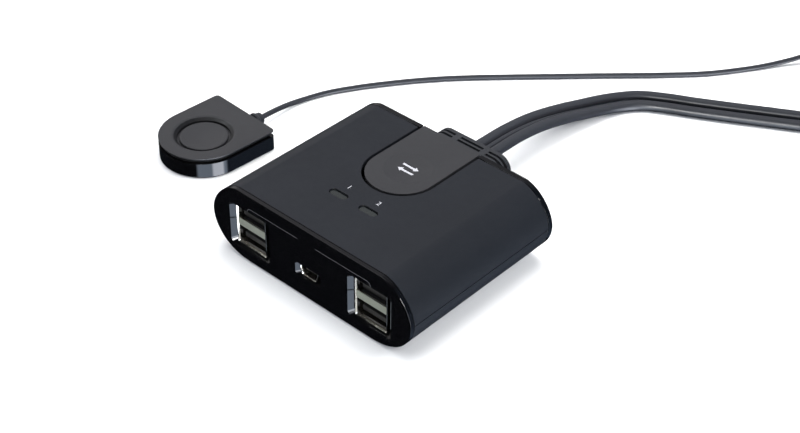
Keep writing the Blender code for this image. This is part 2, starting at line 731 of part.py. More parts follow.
def make_stack(side, word):
    """One stack of two ports: folded steel shell, insulator with two tongues, contacts."""
    x0, x1, z0, z1 = stack_box(side, 0.0)
    front = FRONT + STACK_RECESS
    rear = front + STACK_LENGTH
    sheet = STACK_SHEET
    shell = block(f"usb_shell_{word}", (x0, front, z0), (x1, rear, z1), STEEL)
    hollow = block(
        f"stack_hollow_{word}", (x0 + sheet, front + sheet, z0 + sheet), (x1 - sheet, rear + MM, z1 - sheet),
        None, CUTTERS,
    )
    cut(shell, hollow)
    for level in (0, 1):
        low = port_floor(level)
        mouth = block(
            f"port_mouth_{word}_{level}", (x0 + sheet, front - MM, low),
            (x1 - sheet, front + MM, low + PORT_HEIGHT), None, CUTTERS,
        )
        cut(shell, mouth)
    tip = front + TONGUE_SETBACK
    wall_front, wall_rear = front + 11.5 * MM, rear - MM
    top, bottom = z1 - sheet - GAP, z0 + sheet + GAP
    steps = [(wall_rear, bottom), (wall_rear, top), (wall_front, top)]
    for level in (1, 0):
        low = port_floor(level) + TONGUE_RISE
        steps += [
            (wall_front, low + TONGUE_THICK), (tip, low + TONGUE_THICK), (tip, low), (wall_front, low)
        ]
        if level == 1:
            bridge_top = port_floor(1) - 0.5 * MM
            bridge_low = port_floor(0) + PORT_HEIGHT + 0.5 * MM
            bridge_tip = front + sheet + GAP
            steps += [(wall_front, bridge_top), (bridge_tip, bridge_top), (bridge_tip, bridge_low),
                      (wall_front, bridge_low)]
    steps.append((wall_front, bottom))
    middle = (x0 + x1) / 2
    slab(
        f"usb_insulator_{word}", [steps[::-1]], middle - TONGUE_WIDTH / 2, middle + TONGUE_WIDTH / 2, BLACK, "YZ"
    )
    for level, place_word in ((0, "lower"), (1, "upper")):
        z = port_floor(level) + TONGUE_RISE + TONGUE_THICK + 0.1 * MM
        slab(
            f"usb_contacts_{word}_{place_word}", [contact_comb(middle, tip + 0.8 * MM, wall_front - GAP)],
            z, z + CONTACT_THICK, GOLD,
        )


def contact_comb(middle, tip, root):
    """Four contact fingers on one carrier strip."""
    bar = root - 1.2 * MM
    points = [(middle - 4.2 * MM, root), (middle - 4.2 * MM, bar)]
    for centre in (-3.5 * MM, -1.0 * MM, 1.0 * MM, 3.5 * MM):
        left, right = middle + centre - 0.5 * MM, middle + centre + 0.5 * MM
        points += [(left, bar), (left, tip), (right, tip), (right, bar)]
    points += [(middle + 4.2 * MM, bar), (middle + 4.2 * MM, root)]
    return points


def make_mini_port():
    front, rear = MINI_FRONT, MINI_REAR
    shell = slab("mini_usb_shell", [mini_outline(0.0)], front, rear, STEEL, "XZ")
    inner = slab("mini_hollow", [mini_outline(-MINI_SHEET)], front - MM, rear - 0.6 * MM, None, "XZ", CUTTERS)
    cut(shell, inner)
    top = BASE + MINI_BASE + MINI_HEIGHT - MINI_SHEET - 0.9 * MM
    steps = [
        (rear - MM, BASE + MINI_BASE + MINI_SHEET + GAP), (rear - MM, top + 0.5 * MM), (front + MM, top + 0.5 * MM),
        (front + MM, top - 0.7 * MM), (rear - 3.2 * MM, top - 0.7 * MM),
        (rear - 3.2 * MM, BASE + MINI_BASE + MINI_SHEET + GAP),
    ]
    slab("mini_usb_insulator", [steps], EXIT_X - 2.2 * MM, EXIT_X + 2.2 * MM, BLACK, "YZ")


# ---------------------------------------------------------------- gland

def make_gland():
    z = BASE + GLAND_RISE
    half_wide, half_tall = GLAND_WIDTH / 2, GLAND_HEIGHT / 2
    outline = rounded_box(
        EXIT_X - half_wide, EXIT_X + half_wide, z - half_tall, z + half_tall, GLAND_CORNER, 5
    )
    gland = slab("cable_gland", [outline], REAR + GAP, EXIT_Y, RUBBER, "XZ")
    bevel(gland, 0.7 * MM, 2)
    neck_wide, neck_tall = half_wide - GLAND_NECK, half_tall - GLAND_NECK
    inner_face = REAR - REAR_FLANGE - SPIGOT_DEPTH - GAP
    outline = rounded_box(EXIT_X - neck_wide, EXIT_X + neck_wide, z - neck_tall, z + neck_tall, 1.7 * MM)
    join(gland, slab("gland_neck", [outline], inner_face - 0.5 * MM, REAR + MM, None, "XZ", CUTTERS))
    outline = rounded_box(
        EXIT_X - neck_wide - 1.5 * MM, EXIT_X + neck_wide + 1.5 * MM,
        z - neck_tall - 1.5 * MM, z + neck_tall + 1.5 * MM, 2 * MM,
    )
    flange = slab("gland_flange", [outline], inner_face - GLAND_INNER, inner_face, None, "XZ", CUTTERS)
    join(gland, flange)
    half_middle = GLAND_MIDDLE_SLOT / 2
    spans = [
        (-half_wide - MM, -half_middle - GLAND_RIB), (-half_middle, half_middle),
        (half_middle + GLAND_RIB, half_wide + MM),
    ]
    work = bmesh.new()
    for row in range(GLAND_SLOT_ROWS):
        y = EXIT_Y - 2.1 * MM - row * GLAND_SLOT_PITCH
        for low, high in spans:
            for face in (-1, 1):
                size = (high - low, GLAND_SLOT, 2 * GLAND_SLOT_DEPTH)
                at = (EXIT_X + (low + high) / 2, y, z + face * half_tall)
                bmesh.ops.create_cube(
                    work, size=1.0, matrix=Matrix.Translation(at) @ Matrix.Diagonal((*size, 1.0))
                )
    mesh = bpy.data.meshes.new("gland_slots")
    work.to_mesh(mesh)
    work.free()
    slots = bpy.data.objects.new("gland_slots", mesh)
    bpy.context.scene.collection.objects.link(slots)
    cut(gland, place(slots, None, CUTTERS))
    return gland


def make_inner_leads():
    """The wires from the gland down to the board, one bundle for each cable."""
    start_y = REAR - REAR_FLANGE - SPIGOT_DEPTH - GLAND_INNER - 2 * GAP
    for word, x, radius in (
        ("host_1", -CORD_SPREAD, HOST_CORD * 0.35),
        ("remote", 0.0, REMOTE_CORD * 0.4),
        ("host_2", CORD_SPREAD, HOST_CORD * 0.35),
    ):
        high, low = CORD_START, BASE + BOARD_TOP + GAP + radius
        route = [
            (EXIT_X + x, start_y, high), (EXIT_X + x, start_y - 2.5 * MM, high),
            (EXIT_X + x * 1.2, start_y - 5 * MM, (high + low) / 2 + 0.6 * MM),
            (EXIT_X + x * 1.3, start_y - 7 * MM, low + 0.5 * MM), (EXIT_X + x * 1.3, start_y - 8.5 * MM, low + 0.2 * MM),
        ]
        tube(f"inner_lead_{word}", smooth_route(route, 1.6 * MM), radius * 2, CORD)


# ---------------------------------------------------------------- remote button

def remote_matrix():
    at = Vector((EXIT_X + REMOTE_FROM_EXIT[0], EXIT_Y + REMOTE_FROM_EXIT[1], 0.0))
    return Matrix.Translation(at) @ Matrix.Rotation(math.radians(REMOTE_TURN), 4, "Z")


def to_remote(*things):
    """Moves pieces modelled about the remote's own centre to its place."""
    bpy.context.view_layer.update()
    for thing in things:
        thing.matrix_world = remote_matrix() @ thing.matrix_world


def make_remote():
    radius, back = REMOTE_RADIUS, REMOTE_BACK
    plate_low = REMOTE_HEIGHT - REMOTE_PLATE
    rim = plate_low - REMOTE_WAIST
    floor_top = REMOTE_PAD + REMOTE_FLOOR
    base = slab("remote_base", [dee(0, 0, radius, back, REMOTE_CORNER)], REMOTE_PAD, rim, GLOSS)
    inner = radius - REMOTE_WALL
    hollow = slab(
        "remote_hollow", [dee(0, 0, inner, back - REMOTE_WALL, 0.0)], floor_top, rim + MM, None, group=CUTTERS
    )
    cord_hole = cylinder(
        "remote_cord_hole", RELIEF_NECK + GAP,
        (REMOTE_CORD_ASIDE, back - 2 * REMOTE_WALL, REMOTE_CORD_RISE), 3 * REMOTE_WALL, None, 20, "Y", CUTTERS,
    )
    pad_well = slab(
        "remote_pad_well", [dee(0, 0, radius - 2.5 * MM + GAP, back - 2.5 * MM + GAP, 0.8 * MM)],
        -MM, REMOTE_PAD + 0.3 * MM, None, group=CUTTERS,
    )
    cut(base, hollow, cord_hole, pad_well)
    for i, (x, y) in enumerate(((-10.5 * MM, 14.5 * MM), (10.5 * MM, 14.5 * MM), (0.0, -13.0 * MM))):
        if i < 2:
            post = cylinder(f"remote_post_{i}", 1.8 * MM, (x, y, floor_top - 0.3 * MM), 1.1 * MM, None, 14, group=CUTTERS)
            join(base, post)
            to_remote(post)
    smooth(base)

    top = slab("remote_top", [dee(0, 0, radius, back, REMOTE_CORNER)], plate_low, REMOTE_HEIGHT, PANEL)
    bevel(top, 0.3 * MM, 1)
    neck_outer = inner - GAP
    neck = slab(
        "remote_neck",
        [dee(0, 0, radius - REMOTE_WAIST_INSET, back - REMOTE_WAIST_INSET, 0.8 * MM)],
        rim + GAP, plate_low + 0.2 * MM, None, group=CUTTERS,
    )
    skirt = slab(
        "remote_skirt", [dee(0, 0, neck_outer, back - REMOTE_WALL - GAP, 0.0)], rim - 1.2 * MM,
        rim + 2 * GAP, None, group=CUTTERS,
    )
    join(top, neck, skirt)
    well = slab(
        "remote_well", [dee(0, 0, neck_outer - 1.2 * MM, back - REMOTE_WALL - 1.2 * MM - GAP, 0.0)], rim - 2 * MM,
        plate_low, None, group=CUTTERS,
    )
    hole = REMOTE_BUTTON_RADIUS + GAP
    funnel_profile = [
        (0.0, REMOTE_HEIGHT + MM), (REMOTE_FUNNEL_RADIUS + 0.6 * MM, REMOTE_HEIGHT + MM),
        (REMOTE_FUNNEL_RADIUS, REMOTE_HEIGHT), (hole + 0.5 * MM, REMOTE_HEIGHT - REMOTE_BUTTON_SUNK),
        (hole, REMOTE_HEIGHT - REMOTE_BUTTON_SUNK), (hole, rim - 3 * MM), (0.0, rim - 3 * MM),
    ]
    funnel_cutter = turned("remote_funnel", funnel_profile, (0, 0, 0), None, 36, group=CUTTERS)
    relief_notch = block(
        "relief_notch", (REMOTE_CORD_ASIDE - 3 * MM, back - 5 * MM, rim - 2 * MM),
        (REMOTE_CORD_ASIDE + 3 * MM, back - REMOTE_WALL + GAP, rim), None, CUTTERS,
    )
    cut(top, well, relief_notch, funnel_cutter)
    smooth(top)

    cap_top = REMOTE_HEIGHT - REMOTE_BUTTON_SUNK
    cap_low = cap_top - REMOTE_BUTTON_THICK
    button = turned(
        "remote_button",
        [
            (0.0, cap_top - 0.4 * MM), (0.5 * REMOTE_BUTTON_RADIUS, cap_top - 0.28 * MM),
            (0.85 * REMOTE_BUTTON_RADIUS, cap_top), (REMOTE_BUTTON_RADIUS - 0.3 * MM, cap_top),
            (REMOTE_BUTTON_RADIUS, cap_top - 0.3 * MM), (REMOTE_BUTTON_RADIUS, cap_low + 0.9 * MM),
            (REMOTE_BUTTON_RADIUS + 1.2 * MM, cap_low + 0.9 * MM), (REMOTE_BUTTON_RADIUS + 1.2 * MM, cap_low),
            (0.0, cap_low),
        ],
        (0, 0, 0), PANEL, 40,
    )
    smooth(button)

    board_low = floor_top + 0.5 * MM + GAP
    board_top = board_low + 0.8 * MM
    board = block("remote_board", (-11 * MM, -9 * MM, board_low), (11 * MM, 13 * MM, board_top), BOARD)
    for i, x in enumerate((-10.5 * MM, 10.5 * MM)):
        clearance = cylinder(f"board_notch_{i}", 2.2 * MM, (x, 14.5 * MM, board_low - MM), 3 * MM, None, 14, group=CUTTERS)
        cut(board, clearance)
        to_remote(clearance)
    seat = board_top + 0.15 * MM
    stem_top = cap_low - GAP
    half = SWITCH_SIDE / 2
    switch = block("remote_switch", (-half, -half, seat), (half, half, seat + REMOTE_SWITCH_BODY), BLACK)
    well_cut = cylinder(
        "remote_stem_well", 1.3 * MM + GAP, (0, 0, seat + 0.3 * MM), REMOTE_SWITCH_BODY, None, 16, group=CUTTERS
    )
    cut(switch, well_cut)
    stem_low = seat + 0.75 * MM
    stem = cylinder("remote_switch_stem", 1.3 * MM, (0, 0, stem_low), stem_top - stem_low, RUBBER, 16)

    relief_profile = [
        (0.0, RELIEF_LENGTH), (1.5 * MM, RELIEF_LENGTH), (2.3 * MM, RELIEF_LENGTH - 2.2 * MM),
        (2.7 * MM, RELIEF_LENGTH - 2.5 * MM), (2.7 * MM, RELIEF_LENGTH - 3.2 * MM),
        (2.0 * MM, RELIEF_LENGTH - 3.5 * MM), (2.0 * MM, RELIEF_LENGTH - 4.0 * MM),
        (RELIEF_RADIUS, RELIEF_LENGTH - 4.3 * MM), (RELIEF_RADIUS, GAP), (RELIEF_NECK, GAP),
        (RELIEF_NECK, -REMOTE_WALL - GAP), (RELIEF_FLANGE, -REMOTE_WALL - GAP),
        (RELIEF_FLANGE, -REMOTE_WALL - 1.2 * MM),
        (0.0, -REMOTE_WALL - 1.2 * MM),
    ]
    relief = turned(
        "remote_strain_relief", relief_profile, (REMOTE_CORD_ASIDE, back, REMOTE_CORD_RISE), RUBBER, 24,
        (math.radians(-90), 0.0, 0.0),
    )
    smooth(relief)
    pad = slab(
        "remote_pad", [dee(0, 0, radius - 2.5 * MM, back - 2.5 * MM, 0.8 * MM)], 0.0, REMOTE_PAD, RUBBER
    )
    to_remote(
        base, hollow, cord_hole, pad_well, top, neck, skirt, well, relief_notch, funnel_cutter, button, board,
        switch, well_cut, stem, relief, pad,
    )


# ---------------------------------------------------------------- cords

# Hand-picked points of the routes, in millimetres from the middle of the gland's rear face,
# with heights above the surface that the switch stands on.
BUNDLE = [
    (0.0, 0.3, 14.4), (0.0, 6, 14.35), (-0.5, 12.9, 13.7), (-1.3, 20, 12.6), (-1.8, 27, 11.4),
    (-2.0, 36, 9.8), (-1.5, 45, 8.0), (-0.4, 54, 6.2), (1.2, 62.5, 4.5), (3.2, 70.9, 3.1),
    (6.3, 78.2, 2.3), (11.0, 84.6, 2.05), (18.5, 89.6, 2.05), (28, 94.6, 2.05), (40, 101.3, 2.05),
    (53, 108.8, 2.05),
]
# From here on the three cables run straight to the coils. Places along the run are (distance
# along it, distance to its left, height).
RUN_START = Vector((10.0, 84.0))
RUN_ALONG = Vector((0.866, 0.5))
RUN_LEFT = Vector((-0.5, 0.866))
HOST_1_RUN = [(62, 3.3, 2.05), (72, 3.3, 2.05), (81, 3.25, 2.15), (85.5, 2.9, 2.8), (90.5, 2.2, 3.9)]
HOST_2_RUN = [(62, -3.3, 2.05), (72, -3.3, 2.05), (81, -3.25, 2.05), (85.5, -2.9, 2.05), (90.5, -2.2, 2.05)]
REMOTE_RUN = [
    (56, 0, 1.05), (62, 0, 1.5), (67, 0.1, 3.2), (72, 1.1, 4.8), (77, 3.3, 5.35), (81.5, 6.0, 4.4),
    (85.5, 9.3, 2.6), (87.8, 12.0, 1.7),
]
HOST_COIL = (121.0, 113.9)
HOST_COIL_INNER = 14.2
HOST_COIL_OUTER = 31.7
HOST_COIL_HIGH = 16.5
REMOTE_COIL = (66.0, 150.0)
REMOTE_COIL_INNER = 7.7
REMOTE_COIL_OUTER = 16.4
REMOTE_COIL_HIGH = 12.4
HOST_1_END = [
    (151.3, 95.5, 12.7), (153.6, 87, 9.8), (156.6, 78, 6.4), (159.6, 69.5, 4.5), (161.6, 62, 3.97),
    (162.0, 57.3, 3.92),
]
HOST_2_END = [
    (150.3, 95.5, 8.4), (149.0, 87, 6.5), (147.2, 78, 4.9), (145.4, 69.5, 4.1), (144.3, 62, 3.94),
    (144.0, 57.3, 3.92),
]
REMOTE_RETURN = [
    (55.8, 164.2, 8.6), (48.5, 161.5, 6.4), (42, 156, 3.9), (36, 147.5, 1.9), (29, 136, 1.1),
    (18, 120, 1.05), (4, 105, 1.05), (-10, 91.2, 1.05), (-23, 78.2, 1.05), (-35, 66.2, 1.05),
    (-44.8, 56.3, 1.05), (-53.5, 46.9, 1.05), (-61.6, 36.9, 1.05), (-68.4, 27.4, 1.05), (-74.2, 18.4, 1.05),
    (-79.8, 8.0, 1.05), (-83.2, -2.6, 1.15), (-83.6, -11, 2.3),
]


def along_run(points):
    """Places along the straight run, as points from the middle of the gland's rear face."""
    made = []
    for along, left, height in points:
        flat = RUN_START + RUN_ALONG * along + RUN_LEFT * left
        made.append((flat.x, flat.y, height))
    return made


def smooth_route(points, spacing):
    """Points about spacing apart on a smooth curve through the given ones."""
    knots = [Vector(p) for p in points]
    knots = [2 * knots[0] - knots[1]] + knots + [2 * knots[-1] - knots[-2]]
    dense = []
    for a, b, c, d in zip(knots, knots[1:], knots[2:], knots[3:], strict=False):
        for i in range(24):
            t = i / 24
            dense.append(
                0.5 * ((2 * b) + (c - a) * t + (2 * a - 5 * b + 4 * c - d) * t ** 2
                       + (3 * b - a - 3 * c + d) * t ** 3)
            )
    dense.append(knots[-2])
    lengths = [0.0]
    for before, after in zip(dense, dense[1:], strict=False):
        lengths.append(lengths[-1] + (after - before).length)
    count = max(2, round(lengths[-1] / spacing) + 1)
    made, k = [], 0
    for i in range(count):
        goal = lengths[-1] * i / (count - 1)
        while k < len(lengths) - 2 and lengths[k + 1] < goal:
            k += 1
        share = (goal - lengths[k]) / max(lengths[k + 1] - lengths[k], 1e-12)
        made.append(dense[k].lerp(dense[k + 1], min(max(share, 0.0), 1.0)))
    return made


def beside(points, offset):
    """The route again, offset to its right, in the plane of the floor."""
    made = []
    for i, point in enumerate(points):
        ahead = Vector(points[min(i + 1, len(points) - 1)]) - Vector(points[max(i - 1, 0)])
        right = Vector((ahead.y, -ahead.x, 0.0)).normalized()
        made.append(tuple(Vector(point) + right * offset))
    return made


def from_exit(points):
    return [Vector((EXIT_X + x * MM, EXIT_Y + y * MM, z * MM)) for x, y, z in points]


def tube(name, points, diameter, finish):
    data = bpy.data.curves.new(name, "CURVE")
    data.dimensions = "3D"
    data.bevel_depth = diameter / 2
    data.bevel_resolution = 2
    data.use_fill_caps = True
    spline = data.splines.new("POLY")
    spline.points.add(len(points) - 1)
    for point, place_at in zip(spline.points, points, strict=True):
        point.co = (*place_at, 1.0)
    made = bpy.data.objects.new(name, data)
    bpy.context.scene.collection.objects.link(made)
    return place(made, finish)


def ring(name, centre, inner, outer, height):
    """The outer shape of a coil: a turned ring with rounded shoulders."""
    edge = min(1.2 * MM, height / 4)
    profile = [
        (inner + edge, height), (outer - edge, height), (outer, height - edge), (outer, edge),
        (outer - edge, 0.0), (inner + edge, 0.0), (inner, edge), (inner, height - edge),
    ]
    at = (EXIT_X + centre[0] * MM, EXIT_Y + centre[1] * MM, 0.05 * MM)
    made = turned(name, profile, at, CORD, 40)
    smooth(made)
    return made


def usb_plug(number, tip):
    """A moulded plug lying flat, its cable end at tip and its shell towards -Y."""
    half_wide, length, high = PLUG_BODY[0] / 2, PLUG_BODY[1], PLUG_BODY[2]
    rear = tip.y - GAP - PLUG_RELIEF
    outline = rounded_box(tip.x - half_wide, tip.x + half_wide, rear - length, rear, 2 * MM, 3)
    body = slab(f"usb_plug_body_{number}", [outline], 0.02 * MM, high, BLACK)
    bevel(body, 1.2 * MM, 2)
    relief = turned(
        f"plug_relief_{number}",
        [(0.0, PLUG_RELIEF + MM), (3.6 * MM, PLUG_RELIEF + MM), (3.4 * MM, PLUG_RELIEF - 2 * MM), (2.7 * MM, 0.0),
         (0.0, 0.0)],
        (tip.x, tip.y - GAP, tip.z), None, 16, (math.radians(90), 0.0, 0.0), CUTTERS,
    )
    join(body, relief)
    shell_wide, shell_length, shell_high = PLUG_SHELL
    front = rear - length - shell_length
    low = tip.z - shell_high / 2
    socket = block(
        f"plug_socket_{number}", (tip.x - shell_wide / 2 - GAP, rear - length - MM, low - GAP),
        (tip.x + shell_wide / 2 + GAP, rear - length + 3 * MM + GAP, low + shell_high + GAP), None, CUTTERS,
    )
    cut(body, socket)
    shell = block(
        f"usb_plug_shell_{number}", (tip.x - shell_wide / 2, front, low),
        (tip.x + shell_wide / 2, rear - length + 3 * MM, low + shell_high), STEEL,
    )
    hollow = block(
        f"plug_hollow_{number}", (tip.x - shell_wide / 2 + STACK_SHEET, front - MM, low + STACK_SHEET),
        (tip.x + shell_wide / 2 - STACK_SHEET, rear - length + 2 * MM, low + shell_high - STACK_SHEET),
        None, CUTTERS,
    )
    cut(shell, hollow)
    block(
        f"usb_plug_insulator_{number}",
        (tip.x - TONGUE_WIDTH / 2, front + 0.4 * MM, low + STACK_SHEET + 0.1 * MM),
        (tip.x + TONGUE_WIDTH / 2, rear - length + 1.5 * MM, low + STACK_SHEET + 0.1 * MM + TONGUE_THICK), BLACK,
    )


def make_cords():
    host_step, remote_step = 2.4 * HOST_CORD, 2.6 * REMOTE_CORD
    spread = CORD_SPREAD / MM
    for number, side, run in ((1, -1, HOST_1_RUN), (2, 1, HOST_2_RUN)):
        points = beside(BUNDLE, side * spread)[:-1] + along_run(run)
        tube(f"host_cable_{number}", smooth_route(from_exit(points), host_step), HOST_CORD, CORD)
    lowered = [
        (x, y, z - (HOST_CORD - REMOTE_CORD) / 2 / MM * min(max((13.7 - z) / 11, 0.0), 1.0))
        for x, y, z in BUNDLE
    ]
    points = lowered[:-1] + along_run(REMOTE_RUN)
    tube("remote_cable_out", smooth_route(from_exit(points), remote_step), REMOTE_CORD, CORD)
    ring("host_cable_coil", HOST_COIL, HOST_COIL_INNER * MM, HOST_COIL_OUTER * MM, HOST_COIL_HIGH * MM)
    ring("remote_cable_coil", REMOTE_COIL, REMOTE_COIL_INNER * MM, REMOTE_COIL_OUTER * MM, REMOTE_COIL_HIGH * MM)
    for number, end in ((1, HOST_1_END), (2, HOST_2_END)):
        points = from_exit(end)
        tube(f"host_cable_{number}_end", smooth_route(points, host_step), HOST_CORD, CORD)
        usb_plug(number, points[-1])
    relief_end = REMOTE_BACK + RELIEF_LENGTH + GAP
    last = remote_matrix() @ Vector((REMOTE_CORD_ASIDE, relief_end, REMOTE_CORD_RISE))
    before = remote_matrix() @ Vector((REMOTE_CORD_ASIDE, relief_end + 5 * MM, REMOTE_CORD_RISE - 0.3 * MM))
    points = from_exit(REMOTE_RETURN) + [before, last]
    tube("remote_cable_back", smooth_route(points, remote_step), REMOTE_CORD, CORD)


def set_origin(obj, point):
    """Moves the object's origin without moving its shape."""
    bpy.context.view_layer.update()
    local = obj.matrix_world.inverted() @ Vector(point)
    obj.data.transform(Matrix.Translation(-local))
    obj.location = obj.matrix_world @ local


make_top_cover()
make_bottom_cover()
make_front_bezel()
make_rear_bezel()
set_origin(make_select_button(), (EXIT_X, AXIS_Y, AXIS_Z))
make_lights()
make_feet_and_screws()
make_board()
make_stack(-1, "left")
make_stack(1, "right")
make_mini_port()
make_gland()
make_inner_leads()
make_remote()
make_cords()
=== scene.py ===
"""Looks for the USB sharing switch: visible surfaces, materials, cables, lights and camera."""
import json
import math

import bpy
from mathutils import Matrix, Vector

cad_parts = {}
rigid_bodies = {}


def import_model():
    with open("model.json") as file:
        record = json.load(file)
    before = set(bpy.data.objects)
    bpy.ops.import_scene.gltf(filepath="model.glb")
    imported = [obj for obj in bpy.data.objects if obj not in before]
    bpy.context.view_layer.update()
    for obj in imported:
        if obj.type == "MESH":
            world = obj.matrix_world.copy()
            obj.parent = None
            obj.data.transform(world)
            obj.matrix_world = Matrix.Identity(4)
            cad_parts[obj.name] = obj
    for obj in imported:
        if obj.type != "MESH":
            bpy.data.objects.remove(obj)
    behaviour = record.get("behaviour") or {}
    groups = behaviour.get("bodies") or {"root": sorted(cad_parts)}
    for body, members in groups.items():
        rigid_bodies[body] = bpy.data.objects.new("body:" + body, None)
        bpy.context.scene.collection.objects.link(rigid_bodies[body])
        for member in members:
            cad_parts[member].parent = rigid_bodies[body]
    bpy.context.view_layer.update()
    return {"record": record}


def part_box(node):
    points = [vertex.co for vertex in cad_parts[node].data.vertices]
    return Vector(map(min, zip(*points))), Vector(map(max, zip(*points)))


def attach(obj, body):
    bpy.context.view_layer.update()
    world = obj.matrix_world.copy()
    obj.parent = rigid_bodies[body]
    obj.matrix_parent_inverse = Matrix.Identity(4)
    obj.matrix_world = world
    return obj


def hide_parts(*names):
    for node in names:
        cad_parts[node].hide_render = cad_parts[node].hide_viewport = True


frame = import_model()


MM = 0.001
BODY = "switch_and_remote"

# ------------------------------------------------------------------ sizes read from the frame


def box(node):
    low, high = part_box(node)
    return Vector(low), Vector(high)


GLAND_LOW, GLAND_HIGH = box("cable_gland")
BEZEL_LOW, BEZEL_HIGH = box("front_bezel")
EXIT = Vector(((GLAND_LOW.x + GLAND_HIGH.x) / 2, GLAND_HIGH.y, (GLAND_LOW.z + GLAND_HIGH.z) / 2))
MIDDLE = EXIT.x
FRONT = BEZEL_LOW.y
REAR = box("rear_bezel")[1].y
BASE = BEZEL_LOW.z
TOP = BEZEL_HIGH.z
HALF = (BEZEL_HIGH.x - BEZEL_LOW.x) / 2
COVER_FRONT = box("top_cover")[0].y
COVER_REAR = box("top_cover")[1].y

# The section of the housing, as heights above BASE and distances from MIDDLE.
WIDEST = 13.7 * MM
TOP_FLAT, BOTTOM_FLAT = 31.6 * MM, 27.5 * MM
TOP_ROUNDNESS, BOTTOM_ROUNDNESS = 1.7, 2.12
WALL = 2.0 * MM
SEAM = 0.3 * MM

# ------------------------------------------------------------------ modelling helpers


def deselect():
    for other in bpy.context.view_layer.objects:
        other.select_set(False)


def pick(*pieces):
    """Selects these pieces only; the last one is active."""
    deselect()
    for piece in pieces:
        piece.select_set(True)
    bpy.context.view_layer.objects.active = pieces[-1]


def modify(piece, kind, **settings):
    """Adds one modifier and applies it."""
    pick(piece)
    step = piece.modifiers.new(kind.lower(), kind)
    for key, value in settings.items():
        setattr(step, key, value)
    bpy.ops.object.modifier_apply(modifier=step.name)
    return piece


def settle(piece):
    """Puts the piece's place into its mesh."""
    pick(piece)
    bpy.ops.object.transform_apply(location=True, rotation=True, scale=True)
    return piece


def tidy_mesh(piece, distance=0.002 * MM):
    pick(piece)
    bpy.ops.object.mode_set(mode="EDIT")
    bpy.ops.mesh.select_all(action="SELECT")
    bpy.ops.mesh.remove_doubles(threshold=distance)
    bpy.ops.mesh.normals_make_consistent(inside=False)
    bpy.ops.object.mode_set(mode="OBJECT")
    return piece


def flat(name, loops, low, high, plane="XY"):
    """A flat outline, with any holes, extruded from low to high across its plane."""
    data = bpy.data.curves.new(name, "CURVE")
    data.dimensions = "2D"
    data.fill_mode = "BOTH"
    data.extrude = (high - low) / 2
    for loop in loops:
        spline = data.splines.new("POLY")
        spline.points.add(len(loop) - 1)
        for point, (u, v) in zip(spline.points, loop, strict=True):
            point.co = (u, v, 0.0, 1.0)
        spline.use_cyclic_u = True
    piece = bpy.data.objects.new(name, data)
    bpy.context.scene.collection.objects.link(piece)
    pick(piece)
    bpy.ops.object.convert(target="MESH")
    piece = bpy.context.view_layer.objects.active
    middle = (low + high) / 2
    if plane == "XZ":
        piece.rotation_euler = (math.radians(90), 0.0, 0.0)
        piece.location = (0.0, middle, 0.0)
    else:
        piece.location = (0.0, 0.0, middle)
    settle(piece)
    return tidy_mesh(piece)


def block(name, low, high):
    """A box from its lowest to its highest corner."""
    low, high = Vector(low), Vector(high)
    deselect()
    bpy.ops.mesh.primitive_cube_add(size=1.0, location=(low + high) / 2)
    piece = bpy.context.view_layer.objects.active
    piece.name = name
    piece.scale = high - low
    return settle(piece)


def turned(name, profile, centre, segments=64, tilt=None):
    """A solid of revolution: a disc extruded and scaled through (radius, height) points."""
    deselect()
    radius, height = profile[0]
    bpy.ops.mesh.primitive_circle_add(
        vertices=segments, radius=radius, fill_type="NGON", location=(0.0, 0.0, height)
    )
    piece = bpy.context.view_layer.objects.active
    piece.name = name
    bpy.ops.object.transform_apply(location=True, rotation=False, scale=False)
    bpy.ops.object.mode_set(mode="EDIT")
    bpy.ops.mesh.select_all(action="SELECT")
    for next_radius, next_height in profile[1:]:
        rise = (0.0, 0.0, next_height - height)
        bpy.ops.mesh.extrude_region_move(TRANSFORM_OT_translate={"value": rise})
        share = next_radius / radius
        bpy.ops.transform.resize(value=(share, share, 1.0), center_override=(0.0, 0.0, next_height))
        radius, height = next_radius, next_height
    bpy.ops.mesh.select_all(action="SELECT")
    bpy.ops.mesh.normals_make_consistent(inside=False)
    bpy.ops.object.mode_set(mode="OBJECT")
    if tilt is not None:
        piece.rotation_euler = tilt
    piece.location = centre
    return settle(piece)


def boolean(piece, other, operation="DIFFERENCE"):
    modify(piece, "BOOLEAN", operation=operation, solver="EXACT", object=other)
    bpy.data.objects.remove(other, do_unlink=True)
    return piece


def cut(piece, *cutters):
    for cutter in cutters:
        boolean(piece, cutter)
    return piece


def join(piece, *others):
    for other in others:
        boolean(piece, other, "UNION")
    return piece


def soften(piece, width, segments=3, angle=32.0):
    return modify(
        piece, "BEVEL", width=width, segments=segments, limit_method="ANGLE",
        angle_limit=math.radians(angle), use_clamp_overlap=True, miter_outer="MITER_ARC",
    )


def smooth(piece, angle=32.0):
    pick(piece)
    bpy.ops.object.shade_smooth_by_angle(angle=math.radians(angle))
    return modify(piece, "WEIGHTED_NORMAL", mode="FACE_AREA", weight=100, keep_sharp=True)


def scale_ends(piece, is_end, factors, centre):
    """Scales the corners for which is_end holds about centre."""
    pick(piece)
    bpy.ops.object.mode_set(mode="EDIT")
    bpy.ops.mesh.select_all(action="DESELECT")
    bpy.ops.object.mode_set(mode="OBJECT")
    for vertex in piece.data.vertices:
        vertex.select = is_end(vertex.co)
    bpy.ops.object.mode_set(mode="EDIT")
    bpy.ops.transform.resize(value=factors, center_override=centre)
    bpy.ops.object.mode_set(mode="OBJECT")
    return piece


def finish_piece(piece, look, nodes=(), body=BODY):
    piece.data.materials.clear()
    piece.data.materials.append(look)
    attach(piece, body)
    if nodes:
        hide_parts(*nodes)
    return piece


# ------------------------------------------------------------------ outlines


